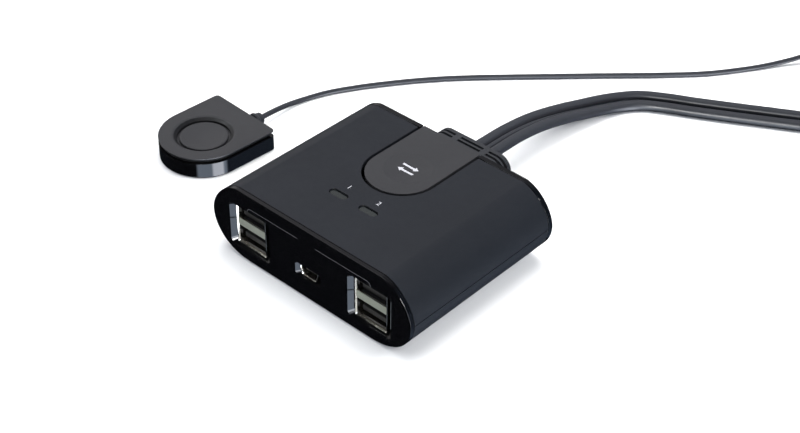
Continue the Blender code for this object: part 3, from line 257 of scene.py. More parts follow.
def rounded_box(x_low, x_high, y_low, y_high, radius, steps=8):
    corners = [
        (x_high - radius, y_high - radius, 0), (x_low + radius, y_high - radius, 90),
        (x_low + radius, y_low + radius, 180), (x_high - radius, y_low + radius, 270),
    ]
    points = []
    for x, y, start in corners:
        for i in range(steps + 1):
            turn = math.radians(start + 90 * i / steps)
            points.append((x + radius * math.cos(turn), y + radius * math.sin(turn)))
    return points


def dee(x, y, radius, back, corner, steps=64):
    """A round front towards -Y and a square back with small round corners."""
    points = []
    for i in range(steps + 1):
        turn = math.radians(180 + 180 * i / steps)
        points.append((x + radius * math.cos(turn), y + radius * math.sin(turn)))
    if corner <= 0:
        return points + [(x + radius, y + back), (x - radius, y + back)]
    for side, start in ((1, 0), (-1, 90)):
        for i in range(9):
            turn = math.radians(start + 90 * i / 8)
            middle_x = x + side * (radius - corner)
            points.append((middle_x + corner * math.cos(turn), y + back - corner + corner * math.sin(turn)))
    return points


def flank(inset, upper, count=28):
    """The rounded right flank of the section, from its widest line to its flat."""
    if upper:
        flat_half, power, rise = TOP_FLAT, TOP_ROUNDNESS, TOP - BASE - inset - WIDEST
    else:
        flat_half, power, rise = BOTTOM_FLAT, BOTTOM_ROUNDNESS, inset - WIDEST
    reach = HALF - inset - flat_half
    points = []
    for i in range(count):
        turn = math.radians(90) * i / (count - 1)
        x = flat_half + reach * max(math.cos(turn), 0.0) ** (2 / power)
        points.append((x, WIDEST + rise * math.sin(turn) ** (2 / power)))
    return points


def section(inset):
    """The closed outline of the housing in XZ."""
    up, down = flank(inset, True), flank(inset, False)
    left = [(-x, z) for x, z in up[::-1]] + [(-x, z) for x, z in down[1:]]
    return [(MIDDLE + x, BASE + z) for x, z in up + left + down[::-1][:-1]]


def cover_outline(upper):
    """A cover's section: the outer flank and flat, then the inner one back."""
    outer, inner = flank(0.0, upper), flank(WALL, upper)
    edge = WIDEST + (SEAM / 2 if upper else -SEAM / 2)
    limit = max if upper else min
    loop = outer + [(-x, z) for x, z in outer[::-1]] + [(-x, z) for x, z in inner] + inner[::-1]
    points = []
    for x, z in loop:
        point = (MIDDLE + x, BASE + limit(z, edge))
        if not points or (Vector(point) - Vector(points[-1])).length > 0.01 * MM:
            points.append(point)
    return points

# ------------------------------------------------------------------ materials


def linear(hex_colour):
    """An sRGB hex colour as linear RGBA."""
    values = [int(hex_colour[i:i + 2], 16) / 255 for i in (1, 3, 5)]
    return (*[v / 12.92 if v <= 0.04045 else ((v + 0.055) / 1.055) ** 2.4 for v in values], 1.0)


def add(tree, kind, inputs=None, **settings):
    """One shader node with its settings, its values and its links."""
    node = tree.nodes.new(kind)
    for key, value in settings.items():
        setattr(node, key, value)
    for key, value in (inputs or {}).items():
        if isinstance(value, bpy.types.NodeSocket):
            tree.links.new(value, node.inputs[key])
        else:
            node.inputs[key].default_value = value
    return node


def blank(name):
    made = bpy.data.materials.new(name)
    made.use_nodes = True
    tree = made.node_tree
    shader = tree.nodes["Principled BSDF"]
    place = add(tree, "ShaderNodeTexCoord").outputs["Object"]
    return made, tree, shader, place


def moulded(name, colour, other, roughness, spread, grain_mm, depth_mm):
    """A moulded surface: spark-eroded grain, a slow drift of colour, and uneven polish."""
    made, tree, shader, place = blank(name)
    drift = add(tree, "ShaderNodeTexNoise", {"Vector": place, "Scale": 45.0, "Detail": 3.0})
    mix = add(tree, "ShaderNodeMix", data_type="RGBA")
    tree.links.new(drift.outputs["Fac"], mix.inputs[0])
    mix.inputs[6].default_value = linear(colour)
    mix.inputs[7].default_value = linear(other)
    tree.links.new(mix.outputs[2], shader.inputs["Base Color"])
    polish = add(tree, "ShaderNodeTexNoise", {"Vector": place, "Scale": 220.0, "Detail": 2.0})
    band = add(
        tree, "ShaderNodeMapRange",
        {"Value": polish.outputs["Fac"], "From Min": 0.3, "From Max": 0.7,
         "To Min": roughness - spread, "To Max": roughness + spread},
    )
    tree.links.new(band.outputs["Result"], shader.inputs["Roughness"])
    grain = add(
        tree, "ShaderNodeTexNoise",
        {"Vector": place, "Scale": 1.0 / (grain_mm * MM), "Detail": 1.5, "Roughness": 0.6},
    )
    bump = add(
        tree, "ShaderNodeBump",
        {"Height": grain.outputs["Fac"], "Distance": depth_mm * MM, "Strength": 1.0},
    )
    tree.links.new(bump.outputs["Normal"], shader.inputs["Normal"])
    return made


def plated(name, colour, other, roughness, grain_mm, depth_mm):
    """A thin metal plating over stamped sheet: faint rolling lines and small stains."""
    made, tree, shader, place = blank(name)
    shader.inputs["Metallic"].default_value = 1.0
    stretch = add(tree, "ShaderNodeMapping", {"Vector": place, "Scale": (1.0, 0.08, 1.0)})
    lines = add(
        tree, "ShaderNodeTexNoise",
        {"Vector": stretch.outputs["Vector"], "Scale": 1.0 / (grain_mm * MM), "Detail": 2.0},
    )
    stain = add(tree, "ShaderNodeTexNoise", {"Vector": place, "Scale": 260.0, "Detail": 2.0})
    mix = add(tree, "ShaderNodeMix", data_type="RGBA")
    tree.links.new(stain.outputs["Fac"], mix.inputs[0])
    mix.inputs[6].default_value = linear(colour)
    mix.inputs[7].default_value = linear(other)
    tree.links.new(mix.outputs[2], shader.inputs["Base Color"])
    band = add(
        tree, "ShaderNodeMapRange",
        {"Value": lines.outputs["Fac"], "From Min": 0.3, "From Max": 0.7,
         "To Min": roughness * 0.8, "To Max": roughness * 1.25},
    )
    tree.links.new(band.outputs["Result"], shader.inputs["Roughness"])
    bump = add(
        tree, "ShaderNodeBump", {"Height": lines.outputs["Fac"], "Distance": depth_mm * MM, "Strength": 1.0}
    )
    tree.links.new(bump.outputs["Normal"], shader.inputs["Normal"])
    return made


# Spark-eroded ABS: a dry, even charcoal with a slight blue cast; it scatters the softboxes.
COVER_ABS = moulded("textured_abs_charcoal", "#15171B", "#1A1C21", 0.5, 0.03, 0.45, 0.012)
# Fine satin ABS of the button and the remote's plate: warmer and lighter than the covers.
BUTTON_ABS = moulded("satin_abs_grey", "#29292B", "#2E2E30", 0.46, 0.03, 0.4, 0.008)
# Highly polished ABS: near black, with sharp reflections and almost no texture.
BEZEL_ABS = moulded("polished_abs_black", "#050506", "#08080A", 0.06, 0.015, 3.0, 0.0015)
# Soft PVC of the gland: satin black, with a slightly greasy polish.
GLAND_PVC = moulded("moulded_pvc_black", "#26272A", "#2E2F32", 0.42, 0.05, 0.5, 0.01)
# Extruded PVC jacket: smooth charcoal with a long soft highlight.
JACKET_PVC = moulded("extruded_pvc_jacket", "#292A2E", "#303135", 0.36, 0.05, 0.9, 0.006)
# Silicone rubber: dull and dark.
FOOT_RUBBER = moulded("silicone_rubber_black", "#141415", "#1B1B1C", 0.75, 0.05, 0.35, 0.015)
# Smoked acrylic light pipe: dark grey-green while unlit, with a clear wet gloss.
LIGHT_PIPE = moulded("smoked_acrylic_unlit", "#1E2020", "#2A2D2D", 0.16, 0.04, 0.6, 0.004)
# Glass-filled nylon of the port insulators. The same near-black also paints shade on the remote's waist,
# under its top plate.
NYLON_BLACK_AND_PAINTED_SHADE = moulded("glass_filled_nylon_black_and_painted_shade", "#0D0D0E", "#151516", 0.5, 0.06, 0.3, 0.01)
# White screen print: flat ink, a little thin in places.
PRINT_INK = moulded("screen_print_white", "#A9A9AE", "#B9B9BE", 0.55, 0.04, 0.4, 0.002)
# Thin grey print of the line that links the ports.
LINE_INK = moulded("screen_print_grey", "#56575B", "#67686C", 0.5, 0.04, 0.4, 0.001)
# Solder mask over glass-epoxy board.
SOLDER_MASK = moulded("solder_mask_green", "#0B4A26", "#0F5A30", 0.35, 0.05, 0.8, 0.01)
# Bright nickel plating over folded steel.
NICKEL = plated("bright_nickel_on_steel", "#D6D3CB", "#C6C3BA", 0.14, 0.12, 0.0004)
# The strip between the ports: the same sheet, left dull.
DULL_NICKEL = plated("dull_nickel_strip", "#C3C7BA", "#B4B8AB", 0.68, 0.2, 0.001)
# Gold flash on the contact fingers.
GOLD = plated("gold_flash_on_bronze", "#D9A441", "#B98029", 0.24, 0.1, 0.001)

LOOKS = {
    "cover_plastic": COVER_ABS, "button_plastic": BUTTON_ABS, "bezel_plastic": BEZEL_ABS,
    "foot_rubber": FOOT_RUBBER, "light_pipe": LIGHT_PIPE, "nickel_steel": NICKEL,
    "gold_contact": GOLD, "board_green": SOLDER_MASK, "black_moulding": NYLON_BLACK_AND_PAINTED_SHADE,
    "cable_jacket": JACKET_PVC,
}
for part in frame["record"]["subparts"]:
    node = bpy.data.objects.get(part["node"])
    if node is not None:
        node.data.materials.clear()
        node.data.materials.append(LOOKS[part["material_slot"]])

# ------------------------------------------------------------------ camera, stage and light

AZIMUTH, ELEVATION, ROLL = math.radians(41.996), math.radians(37.63), math.radians(0.851)
CAMERA_AT = Vector((0.295348, -0.293642, 0.316565))

camera_data = bpy.data.cameras.new("camera")
camera_data.sensor_width = 36.0
camera_data.lens = 68.06
camera_data.clip_start = 0.01
camera = bpy.data.objects.new("camera", camera_data)
bpy.context.scene.collection.objects.link(camera)
camera.matrix_world = (
    Matrix.Translation(CAMERA_AT)
    @ Matrix.Rotation(AZIMUTH, 4, "Z")
    @ Matrix.Rotation(math.radians(90) - ELEVATION, 4, "X")
    @ Matrix.Rotation(ROLL, 4, "Z")
)
bpy.context.scene.camera = camera

deselect()
bpy.ops.mesh.primitive_plane_add(size=6.0, location=(0.0, 0.0, 0.0))
floor = bpy.context.view_layer.objects.active
floor.name = "studio_floor"
floor_look, _, floor_shader, _ = blank("white_acrylic_sweep")
floor_shader.inputs["Base Color"].default_value = (0.93, 0.93, 0.93, 1.0)
floor_shader.inputs["Roughness"].default_value = 0.12
floor_shader.inputs["Specular IOR Level"].default_value = 0.35
floor.data.materials.append(floor_look)
# Below the horizon the gloss of the object meets a dark studio, not the lit sweep.
floor.visible_glossy = False

world = bpy.data.worlds.new("studio")
bpy.context.scene.world = world
world.use_nodes = True
world_tree = world.node_tree
sky = world_tree.nodes["Background"]
direction = add(world_tree, "ShaderNodeTexCoord").outputs["Generated"]
height = add(world_tree, "ShaderNodeSeparateXYZ", {"Vector": direction}).outputs["Z"]
level_part = add(
    world_tree, "ShaderNodeVectorMath", {0: direction, 1: (1.0, 1.0, 0.0)}, operation="MULTIPLY"
).outputs[0]
level_direction = add(
    world_tree, "ShaderNodeVectorMath", {0: level_part}, operation="NORMALIZE"
).outputs[0]

# The cards around the set. Each has its bearing in degrees from the front towards the right, half its
# width and its soft edge, its lowest and highest elevation and their softness, and its light.
CARDS = [
    (-138, 42, 34, 8, 52, 14, (0.225, 0.228, 0.25)),   # grey flat behind, seen in every top face
    (-85, 30, 34, 5, 45, 18, (0.38, 0.37, 0.36)),       # lighter flat at the left, on the left shoulder
    (128, 45, 25, 0, 40, 12, (0.04, 0.065, 0.10)),      # navy cloth at the right, on the right flank
    (138, 30, 20, -70, -4, 8, (0.10, 0.14, 0.21)),      # its lower part, in the remote's straight side
    (0, 170, 8, 64, 90, 16, (0.16, 0.17, 0.19)),        # a small patch of light straight above
    (-41, 24, 12, 36, 48, 6, (4.0, 4.2, 4.4)),          # flat over the camera, in the upper edges
    (56, 20, 10, 6, 42, 8, (1.6, 1.7, 1.9)),            # flat at the front right, in the right edges
    (66, 34, 9, -58, -4, 5, (2.3, 2.7, 3.3)),           # sweep at the front right, in the side bevels
    (44, 5, 4, -26, 8, 5, (7.0, 7.2, 7.6)),             # narrow flat, along the right end's rim
    (81, 10, 8, -58, -4, 5, (6.0, 6.0, 6.4)),           # bright strip of it, in the remote's round side
]
UNLIT_STUDIO = (0.012, 0.013, 0.017)
total = UNLIT_STUDIO
for bearing, half, edge, low_angle, high_angle, soft, light in CARDS:
    turn = math.radians(bearing)
    towards = (math.sin(turn), -math.cos(turn), 0.0)
    facing = add(
        world_tree, "ShaderNodeVectorMath", {0: level_direction, 1: towards}, operation="DOT_PRODUCT"
    ).outputs["Value"]
    across = add(
        world_tree, "ShaderNodeMapRange",
        {"Value": facing, "From Min": math.cos(math.radians(half + edge)),
         "From Max": math.cos(math.radians(half))},
        interpolation_type="SMOOTHSTEP",
    ).outputs["Result"]
    rising = add(
        world_tree, "ShaderNodeMapRange",
        {"Value": height, "From Min": math.sin(math.radians(low_angle - soft)),
         "From Max": math.sin(math.radians(low_angle))},
        interpolation_type="SMOOTHSTEP",
    ).outputs["Result"]
    falling = add(
        world_tree, "ShaderNodeMapRange",
        {"Value": height, "From Min": math.sin(math.radians(high_angle)),
         "From Max": math.sin(math.radians(high_angle + soft)), "To Min": 1.0, "To Max": 0.0},
        interpolation_type="SMOOTHSTEP",
    ).outputs["Result"]
    upright = add(world_tree, "ShaderNodeMath", {0: rising, 1: falling}, operation="MULTIPLY").outputs[0]
    share = add(world_tree, "ShaderNodeMath", {0: across, 1: upright}, operation="MULTIPLY").outputs[0]
    lit = add(world_tree, "ShaderNodeVectorMath", {0: light}, operation="SCALE")
    world_tree.links.new(share, lit.inputs["Scale"])
    total = add(world_tree, "ShaderNodeVectorMath", {0: total, 1: lit.outputs[0]}, operation="ADD").outputs[0]
world_tree.links.new(total, sky.inputs["Color"])


def softbox(name, at, target, size, power):
    data = bpy.data.lights.new(name, "AREA")
    data.shape = "RECTANGLE"
    data.size, data.size_y = size
    data.energy = power
    lamp = bpy.data.objects.new(name, data)
    bpy.context.scene.collection.objects.link(lamp)
    lamp.location = at
    aim = Vector(target) - Vector(at)
    lamp.rotation_euler = aim.to_track_quat("-Z", "Y").to_euler()
    return lamp


top_light = softbox("top_light", (-0.15, 0.25, 1.3), (0.0, 0.0, 0.0), (1.1, 1.1), 26.0)
# The gloss shows the cards, not this lamp, which only lights the set and casts the soft shadow.
top_light.visible_glossy = False
# From behind on the right: it keeps the shadow beside the right flank pale.
fill_light = softbox("fill_light", (0.95, 0.95, 0.9), (0.04, 0.0, 0.0), (0.8, 0.8), 22.0)
fill_light.visible_glossy = False
rim_lamp = softbox("rim_lamp", (0.69, -0.98, 0.32), (0.03, 0.0, 0.01), (0.15, 0.5), 11.0)
# Only a gleam along the right-hand rims: it adds no shadow of its own.
rim_lamp.visible_diffuse = False
bpy.context.scene.view_settings.view_transform = "Standard"

# ------------------------------------------------------------------ cables

HOST_CORD, REMOTE_CORD = 4.0 * MM, 2.0 * MM
CORD_SPREAD = 3.3           # millimetres, each host cable from the middle of the bundle

# Routes in millimetres from the middle of the gland's rear face, with heights above the floor.
BUNDLE = [
    (0.0, 0.3, 14.4), (0.0, 6, 14.35), (-0.5, 12.9, 13.7), (-1.3, 20, 12.6), (-1.8, 27, 11.4),
    (-2.0, 36, 9.8), (-1.5, 45, 8.0), (-0.4, 54, 6.2), (1.2, 62.5, 4.5), (3.2, 70.9, 3.1),
    (6.3, 78.2, 2.3), (11.0, 84.6, 2.05), (18.5, 89.6, 2.05), (28, 94.6, 2.05), (40, 101.3, 2.05),
]
# The straight run to the coils: distance along it, distance to its left, and height.
RUN_START, RUN_ALONG, RUN_LEFT = Vector((10.0, 84.0)), Vector((0.866, 0.5)), Vector((-0.5, 0.866))
HOST_1_RUN = [
    (50, 3.3, 2.05), (62, 3.3, 2.05), (72, 3.3, 2.05), (81, 3.25, 2.15), (85.5, 2.9, 2.8), (90.5, 2.2, 3.9),
    (97, 0.9, 5.5), (104, 0.1, 6.2),
]
HOST_2_RUN = [
    (50, -3.3, 2.05), (62, -3.3, 2.05), (72, -3.3, 2.05), (81, -3.25, 2.05), (85.5, -2.9, 2.05),
    (90.5, -2.2, 2.05), (97, -0.9, 2.05), (104, -0.1, 2.05),
]
REMOTE_RUN = [
    (50, 0, 1.05), (56, 0, 1.05), (62, 0, 1.5), (67, 0.1, 3.2), (72, 1.1, 4.8), (77, 3.3, 5.35),
    (81.5, 6.0, 4.4), (85.5, 9.3, 2.6), (87.8, 12.0, 1.7), (91.5, 17.0, 1.05),
]
HOST_COIL, REMOTE_COIL = Vector((121.0, 113.9)), Vector((66.0, 150.0))
HOST_1_END = [
    (151.3, 95.5, 12.7), (153.6, 87, 9.8), (156.6, 78, 6.4), (159.6, 69.5, 4.5), (161.6, 62, 3.97),
    (162.0, 57.3, 3.92),
]
HOST_2_END = [
    (150.3, 95.5, 8.4), (149.0, 87, 6.5), (147.2, 78, 4.9), (145.4, 69.5, 4.1), (144.3, 62, 3.94),
    (144.0, 57.3, 3.92),
]
REMOTE_RETURN = [
    (55.8, 164.2, 8.6), (48.5, 161.5, 6.4), (42, 156, 3.9), (36, 147.5, 1.9), (29, 136, 1.1),
    (18, 120, 1.05), (4, 105, 1.05), (-10, 91.2, 1.05), (-23, 78.2, 1.05), (-35, 66.2, 1.05),
    (-44.8, 56.3, 1.05), (-53.5, 46.9, 1.05), (-61.6, 36.9, 1.05), (-68.4, 27.4, 1.05),
    (-74.2, 18.4, 1.05), (-79.8, 8.0, 1.05), (-83.2, -2.6, 1.15), (-83.6, -11, 2.3),
]
REMOTE_NUB = [(-83.0, -18.9, 3.4), (-82.77, -23.6, 3.7)]


def beside(points, offset):
    """The route again, offset to its right in the plane of the floor."""
    made = []
    for i, point in enumerate(points):
        ahead = Vector(points[min(i + 1, len(points) - 1)]) - Vector(points[max(i - 1, 0)])
        right = Vector((ahead.y, -ahead.x, 0.0)).normalized()
        made.append(tuple(Vector(point) + right * offset))
    return made


def along_run(points):
    made = []
    for along, left, height in points:
        place = RUN_START + RUN_ALONG * along + RUN_LEFT * left
        made.append((place.x, place.y, height))
    return made


def winding(centre, start_angle, turns, sense, outer, pitch, layer_turns, low, layer_height, steps=24):
    """A coil wound in flat layers, inwards and outwards by turns, each lying on the last."""
    made = []
    layers = round(turns / layer_turns)
    for i in range(round(turns * steps) + 1):
        turn = i / steps
        layer = min(int(turn / layer_turns), layers - 1)
        share = turn / layer_turns - layer
        inward = share if layer % 2 == 0 else 1 - share
        radius = outer - pitch * layer_turns * inward
        level = 0.0
        for step in range(1, layers):
            rise = min(max((turn - step * layer_turns + 0.15) / 0.3, 0.0), 1.0)
            level += rise * rise * (3 - 2 * rise)
        angle = start_angle + sense * math.tau * turn
        x, y = centre.x + radius * math.cos(angle), centre.y + radius * math.sin(angle)
        made.append((x, y, low + layer_height * level))
    return made


def smooth_route(points, spacing):
    """Points about spacing apart on a smooth curve through the given ones."""
    knots = [Vector(p) for p in points]
    knots = [2 * knots[0] - knots[1]] + knots + [2 * knots[-1] - knots[-2]]
    dense = []
    for a, b, c, d in zip(knots, knots[1:], knots[2:], knots[3:], strict=False):
        for i in range(12):
            t = i / 12
            dense.append(
                0.5 * ((2 * b) + (c - a) * t + (2 * a - 5 * b + 4 * c - d) * t ** 2
                       + (3 * b - a - 3 * c + d) * t ** 3)
            )
    dense.append(knots[-2])
    lengths = [0.0]
    for before, after in zip(dense, dense[1:], strict=False):
        lengths.append(lengths[-1] + (after - before).length)
    count = max(2, round(lengths[-1] / spacing) + 1)
    made, k = [], 0
    for i in range(count):
        goal = lengths[-1] * i / (count - 1)
        while k < len(lengths) - 2 and lengths[k + 1] < goal:
            k += 1
        share = (goal - lengths[k]) / max(lengths[k + 1] - lengths[k], 1e-12)
        made.append(dense[k].lerp(dense[k + 1], min(max(share, 0.0), 1.0)))
    return made


def cable(name, points, diameter, spacing, nodes):
    """A round cable along points in millimetres from the gland's exit."""
    route = smooth_route(points, spacing)
    data = bpy.data.curves.new(name, "CURVE")
    data.dimensions = "3D"
    data.bevel_depth = diameter / 2
    data.bevel_resolution = 4
    data.use_fill_caps = True
    spline = data.splines.new("POLY")
    spline.points.add(len(route) - 1)
    for point, place in zip(spline.points, route, strict=True):
        point.co = (EXIT.x + place.x * MM, EXIT.y + place.y * MM, place.z * MM, 1.0)
    spline.use_smooth = True
    piece = bpy.data.objects.new(name, data)
    bpy.context.scene.collection.objects.link(piece)
    data.materials.append(JACKET_PVC)
    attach(piece, BODY)
    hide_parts(*nodes)
    return piece


def world_point(point):
    return (EXIT.x + point[0] * MM, EXIT.y + point[1] * MM, point[2] * MM)


def make_cables():
    """The cables, each with the place where it leaves the gland."""
    host_outer, host_pitch, host_turns = 29.5, 4.12, 6 + 1 / 3
    pieces = {}
    for number, side, run, stack, end in (
        (1, -1, HOST_1_RUN, 6.15, HOST_1_END), (2, 1, HOST_2_RUN, 2.05, HOST_2_END)
    ):
        coil = winding(
            HOST_COIL, math.radians(120), host_turns, -1, host_outer, host_pitch, host_turns / 2,
            stack, 8.2,
        )
        tail = [(150.5, 104.5, coil[-1][2] - 0.35)] + end
        points = beside(BUNDLE, side * CORD_SPREAD) + along_run(run) + coil + tail
        solids = [f"host_cable_{number}", f"host_cable_{number}_end"]
        if number == 1:
            solids.append("host_cable_coil")
        piece = cable(f"host_cord_{number}", points, HOST_CORD, 2.2, solids)
        pieces[number] = (piece, world_point(points[0]))
    lowered = [(x, y, z - min(max((13.7 - z) / 11, 0.0), 1.0)) for x, y, z in BUNDLE]
    coil = winding(REMOTE_COIL, 0.0, 18.25, 1, 15.2, 2.1, 18.25 / 6, 1.05, 2.05)
    points = lowered + along_run(REMOTE_RUN) + coil + [(60.5, 164.9, 10.4)]
    points += REMOTE_RETURN + REMOTE_NUB
    solids = ["remote_cable_out", "remote_cable_coil", "remote_cable_back"]
    piece = cable("remote_cord", points, REMOTE_CORD, 1.6, solids)
    pieces[3] = (piece, world_point(points[0]))
    return pieces


cables = make_cables()

# ------------------------------------------------------------------ housing

BUTTON_RADIUS, BUTTON_FROM_REAR, BUTTON_GROOVE = 12.3 * MM, 24.75 * MM, 0.6 * MM
BUTTON_Y = REAR - BUTTON_FROM_REAR
BUTTON_THICK = 2.0 * MM
HINGE_Y, HINGE_Z = REAR - 5.25 * MM, TOP - 3.7 * MM
LIGHT_SPACING, LIGHT_Y = 6.45 * MM, FRONT + 20.85 * MM
LIGHT_LENGTH, LIGHT_WIDTH, LIGHT_CLEARANCE = 6.8 * MM, 2.3 * MM, 0.7 * MM
BEZEL_CHAMFER, SPIGOT_CLEARANCE, SPIGOT_LENGTH, LAP = 0.4 * MM, 0.3 * MM, 2.4 * MM, 0.3 * MM
MOUTH_DEPTH, HOLE_DEPTH = 1.7 * MM, 6 * MM


def pill(x, y, length, width, steps=10):
    return rounded_box(x - length / 2, x + length / 2, y - width / 2, y + width / 2, width * 0.499, steps)


def make_top_cover():
    cover = flat("top_cover_shell", [cover_outline(True)], COVER_FRONT, COVER_REAR, "XZ")
    radius = BUTTON_RADIUS + BUTTON_GROOVE + 0.5 * MM
    opening = flat(
        "opening", [dee(MIDDLE, BUTTON_Y, radius, BUTTON_FROM_REAR + 3 * MM, 0.0)], TOP - 4 * MM, TOP + MM
    )
    cut(cover, opening)
    for side in (-1, 1):
        long, wide = LIGHT_LENGTH + LIGHT_CLEARANCE, LIGHT_WIDTH + LIGHT_CLEARANCE
        outline = pill(MIDDLE + side * LIGHT_SPACING, LIGHT_Y, long, wide)
        cut(cover, flat("slot", [outline], TOP - 4 * MM, TOP + MM))
    tidy_mesh(cover)
    soften(cover, 0.32 * MM, 3, 40)
    smooth(cover)
    return finish_piece(cover, COVER_ABS, ["top_cover"])


def make_bottom_cover():
    cover = flat("bottom_cover_shell", [cover_outline(False)], COVER_FRONT, COVER_REAR, "XZ")
    for word in ("front_left", "front_right", "rear_left", "rear_right"):
        for kind, clearance, depth, segments in (("foot", 0.25, 0.9, 48), ("screw", 0.3, 4, 40)):
            low, high = box(f"{kind}_{word}")
            centre = (low + high) / 2
            radius = (high.x - low.x) / 2 + clearance * MM
            profile = [(radius, -MM), (radius, BASE + depth * MM)]
            cut(cover, turned("socket", profile, (centre.x, centre.y, 0.0), segments))
    tidy_mesh(cover)
    soften(cover, 0.25 * MM, 2, 40)
    smooth(cover)
    return finish_piece(cover, COVER_ABS, ["bottom_cover"])


def port_rectangle(word):
    low, high = box(f"usb_shell_{word}")
    return low.x, high.x, low.z, high.z


def cut_mouth(bezel, edges, hole_corner, mouth_corner, ledge, side_flare, sill_flare, steps):
    """A hole through the bezel, and before it a mouth that widens, and drops at the sill."""
    x0, x1, z0, z1 = edges
    hole = flat("hole", [rounded_box(*edges, hole_corner)], FRONT - MM, FRONT + HOLE_DEPTH, "XZ")
    cut(bezel, hole)
    half, tall = (x1 - x0) / 2 + ledge, z1 - z0
    outline = rounded_box(x0 - ledge, x1 + ledge, z0, z1, mouth_corner, steps)
    mouth = flat("mouth", [outline], FRONT - LAP, FRONT + MOUTH_DEPTH, "XZ")
    shares = ((half + side_flare) / half, 1.0, (tall + sill_flare) / tall)
    scale_ends(mouth, lambda co: co.y < FRONT, shares, ((x0 + x1) / 2, FRONT, z1))
    cut(bezel, mouth)


def bezel_plate(name, low, high, spigot_low, spigot_high):
    """A chamfered end plate with the spigot that slides into the covers."""
    plate = flat(name, [section(0.0)], low, high, "XZ")
    soften(plate, BEZEL_CHAMFER, 1, 60)
    spigot = flat("spigot", [section(WALL + SPIGOT_CLEARANCE)], spigot_low, spigot_high, "XZ")
    return join(plate, spigot)


def make_front_bezel():
    inner = COVER_FRONT - SEAM
    bezel = bezel_plate("front_bezel_plate", FRONT, inner, inner - LAP, inner + SPIGOT_LENGTH)
    for word in ("left", "right"):
        x0, x1, z0, z1 = port_rectangle(word)
        x0, x1, z0, z1 = x0 - 0.75 * MM, x1 + 0.75 * MM, z0 - 0.4 * MM, z1 + 0.2 * MM
        cut_mouth(
            bezel, (x0, x1, z0, z1), 0.9 * MM, 1.7 * MM, 0.5 * MM, 1.65 * MM, 0.75 * MM, 12
        )
        for x in (x0 - 1.0 * MM, x1 + 1.0 * MM):
            split = block(
                "split", (x - 1.5 * MM, FRONT - MM, BASE + WIDEST - 0.2 * MM),
                (x + 1.5 * MM, FRONT + 2.4 * MM, BASE + WIDEST + 0.2 * MM),
            )
            cut(bezel, split)
    low, high = box("mini_usb_shell")
    edges = low.x - 0.3 * MM, high.x + 0.3 * MM, low.z - 0.25 * MM, high.z + 0.25 * MM
    cut_mouth(bezel, edges, 0.6 * MM, 0.9 * MM, 0.0, 1.8 * MM, 0.45 * MM, 8)
    tidy_mesh(bezel)
    smooth(bezel, 24)
    return finish_piece(bezel, BEZEL_ABS, ["front_bezel"])


def make_rear_bezel():
    inner = COVER_REAR + SEAM
    bezel = bezel_plate("rear_bezel_plate", inner, REAR, inner - SPIGOT_LENGTH, inner + LAP)
    half, ahead = BUTTON_RADIUS + BUTTON_GROOVE, REAR - 8 * MM
    notch = block("notch", (MIDDLE - half, ahead, TOP - 2.6 * MM), (MIDDLE + half, REAR + MM, TOP + MM))
    side = half + 3.2 * MM
    relief = block(
        "relief", (MIDDLE - side, ahead, TOP - 6.3 * MM), (MIDDLE + side, inner + 0.1 * MM, TOP + MM)
    )
    collar = 2.9 * MM
    wide = (GLAND_HIGH.x - GLAND_LOW.x) / 2 - collar
    tall = (GLAND_HIGH.z - GLAND_LOW.z) / 2 - collar
    outline = rounded_box(MIDDLE - wide, MIDDLE + wide, EXIT.z - tall, EXIT.z + tall, 2 * MM)
    hole = flat("hole", [outline], ahead, REAR + MM, "XZ")
    cut(bezel, notch, relief, hole)
    tidy_mesh(bezel)
    smooth(bezel, 24)
    return finish_piece(bezel, BEZEL_ABS, ["rear_bezel"])


# The dish is the cap of a large sphere; its middle lies behind the middle of the round front.
DISH_RADIUS, DISH_DEPTH, DISH_BEHIND = 8.6 * MM, 0.75 * MM, 2.9 * MM
DISH_CURVE = (DISH_RADIUS ** 2 + DISH_DEPTH ** 2) / (2 * DISH_DEPTH)


def dish_height(reach):
    """The height of the dish against the button's top, at this distance from its middle."""
    return DISH_CURVE - DISH_DEPTH - math.sqrt(DISH_CURVE ** 2 - reach ** 2)


def dish_cutter(rings=12):
    profile = [(DISH_RADIUS * 1.02, 2 * MM), (DISH_RADIUS * 1.02, 0.02 * MM)]
    for i in range(rings):
        reach = DISH_RADIUS * (1 - i / rings)
        profile.append((reach, dish_height(reach)))
    profile.append((0.12 * MM, -DISH_DEPTH))
    return turned("dish", profile, (MIDDLE, BUTTON_Y + DISH_BEHIND, TOP), 96)


def make_select_button():
    low, high = box("select_button")
    outline = dee(MIDDLE, BUTTON_Y, BUTTON_RADIUS, BUTTON_FROM_REAR, 0.3 * MM)
    button = flat("select_button_panel", [outline], TOP - BUTTON_THICK, TOP)
    soften(button, 0.3 * MM, 3, 50)
    cut(button, dish_cutter())
    inside = TOP - BUTTON_THICK + 0.4 * MM
    post = turned("post", [(2 * MM, 0.0), (2 * MM, inside - low.z)], (MIDDLE, BUTTON_Y, low.z), 32)
    join(button, post)
    for side in (-1, 1):
        outer = MIDDLE + side * (BUTTON_RADIUS - 0.3 * MM)
        x0, x1 = sorted((outer, outer - side * 2 * MM))
        ear = block(
            "ear", (x0, HINGE_Y - 1.8 * MM, HINGE_Z - 1.6 * MM), (x1, HINGE_Y + 1.8 * MM, inside)
        )
        end = high.x if side > 0 else low.x
        x0, x1 = sorted((outer - side * MM, end))
        along_x = (0.0, math.radians(90), 0.0)
        pin = turned("pin", [(MM, 0.0), (MM, x1 - x0)], (x0, HINGE_Y, HINGE_Z), 32, along_x)
        join(button, ear, pin)
    tidy_mesh(button)
    smooth(button, 30)
    return finish_piece(button, BUTTON_ABS, ["select_button"], "select_button_tilt")


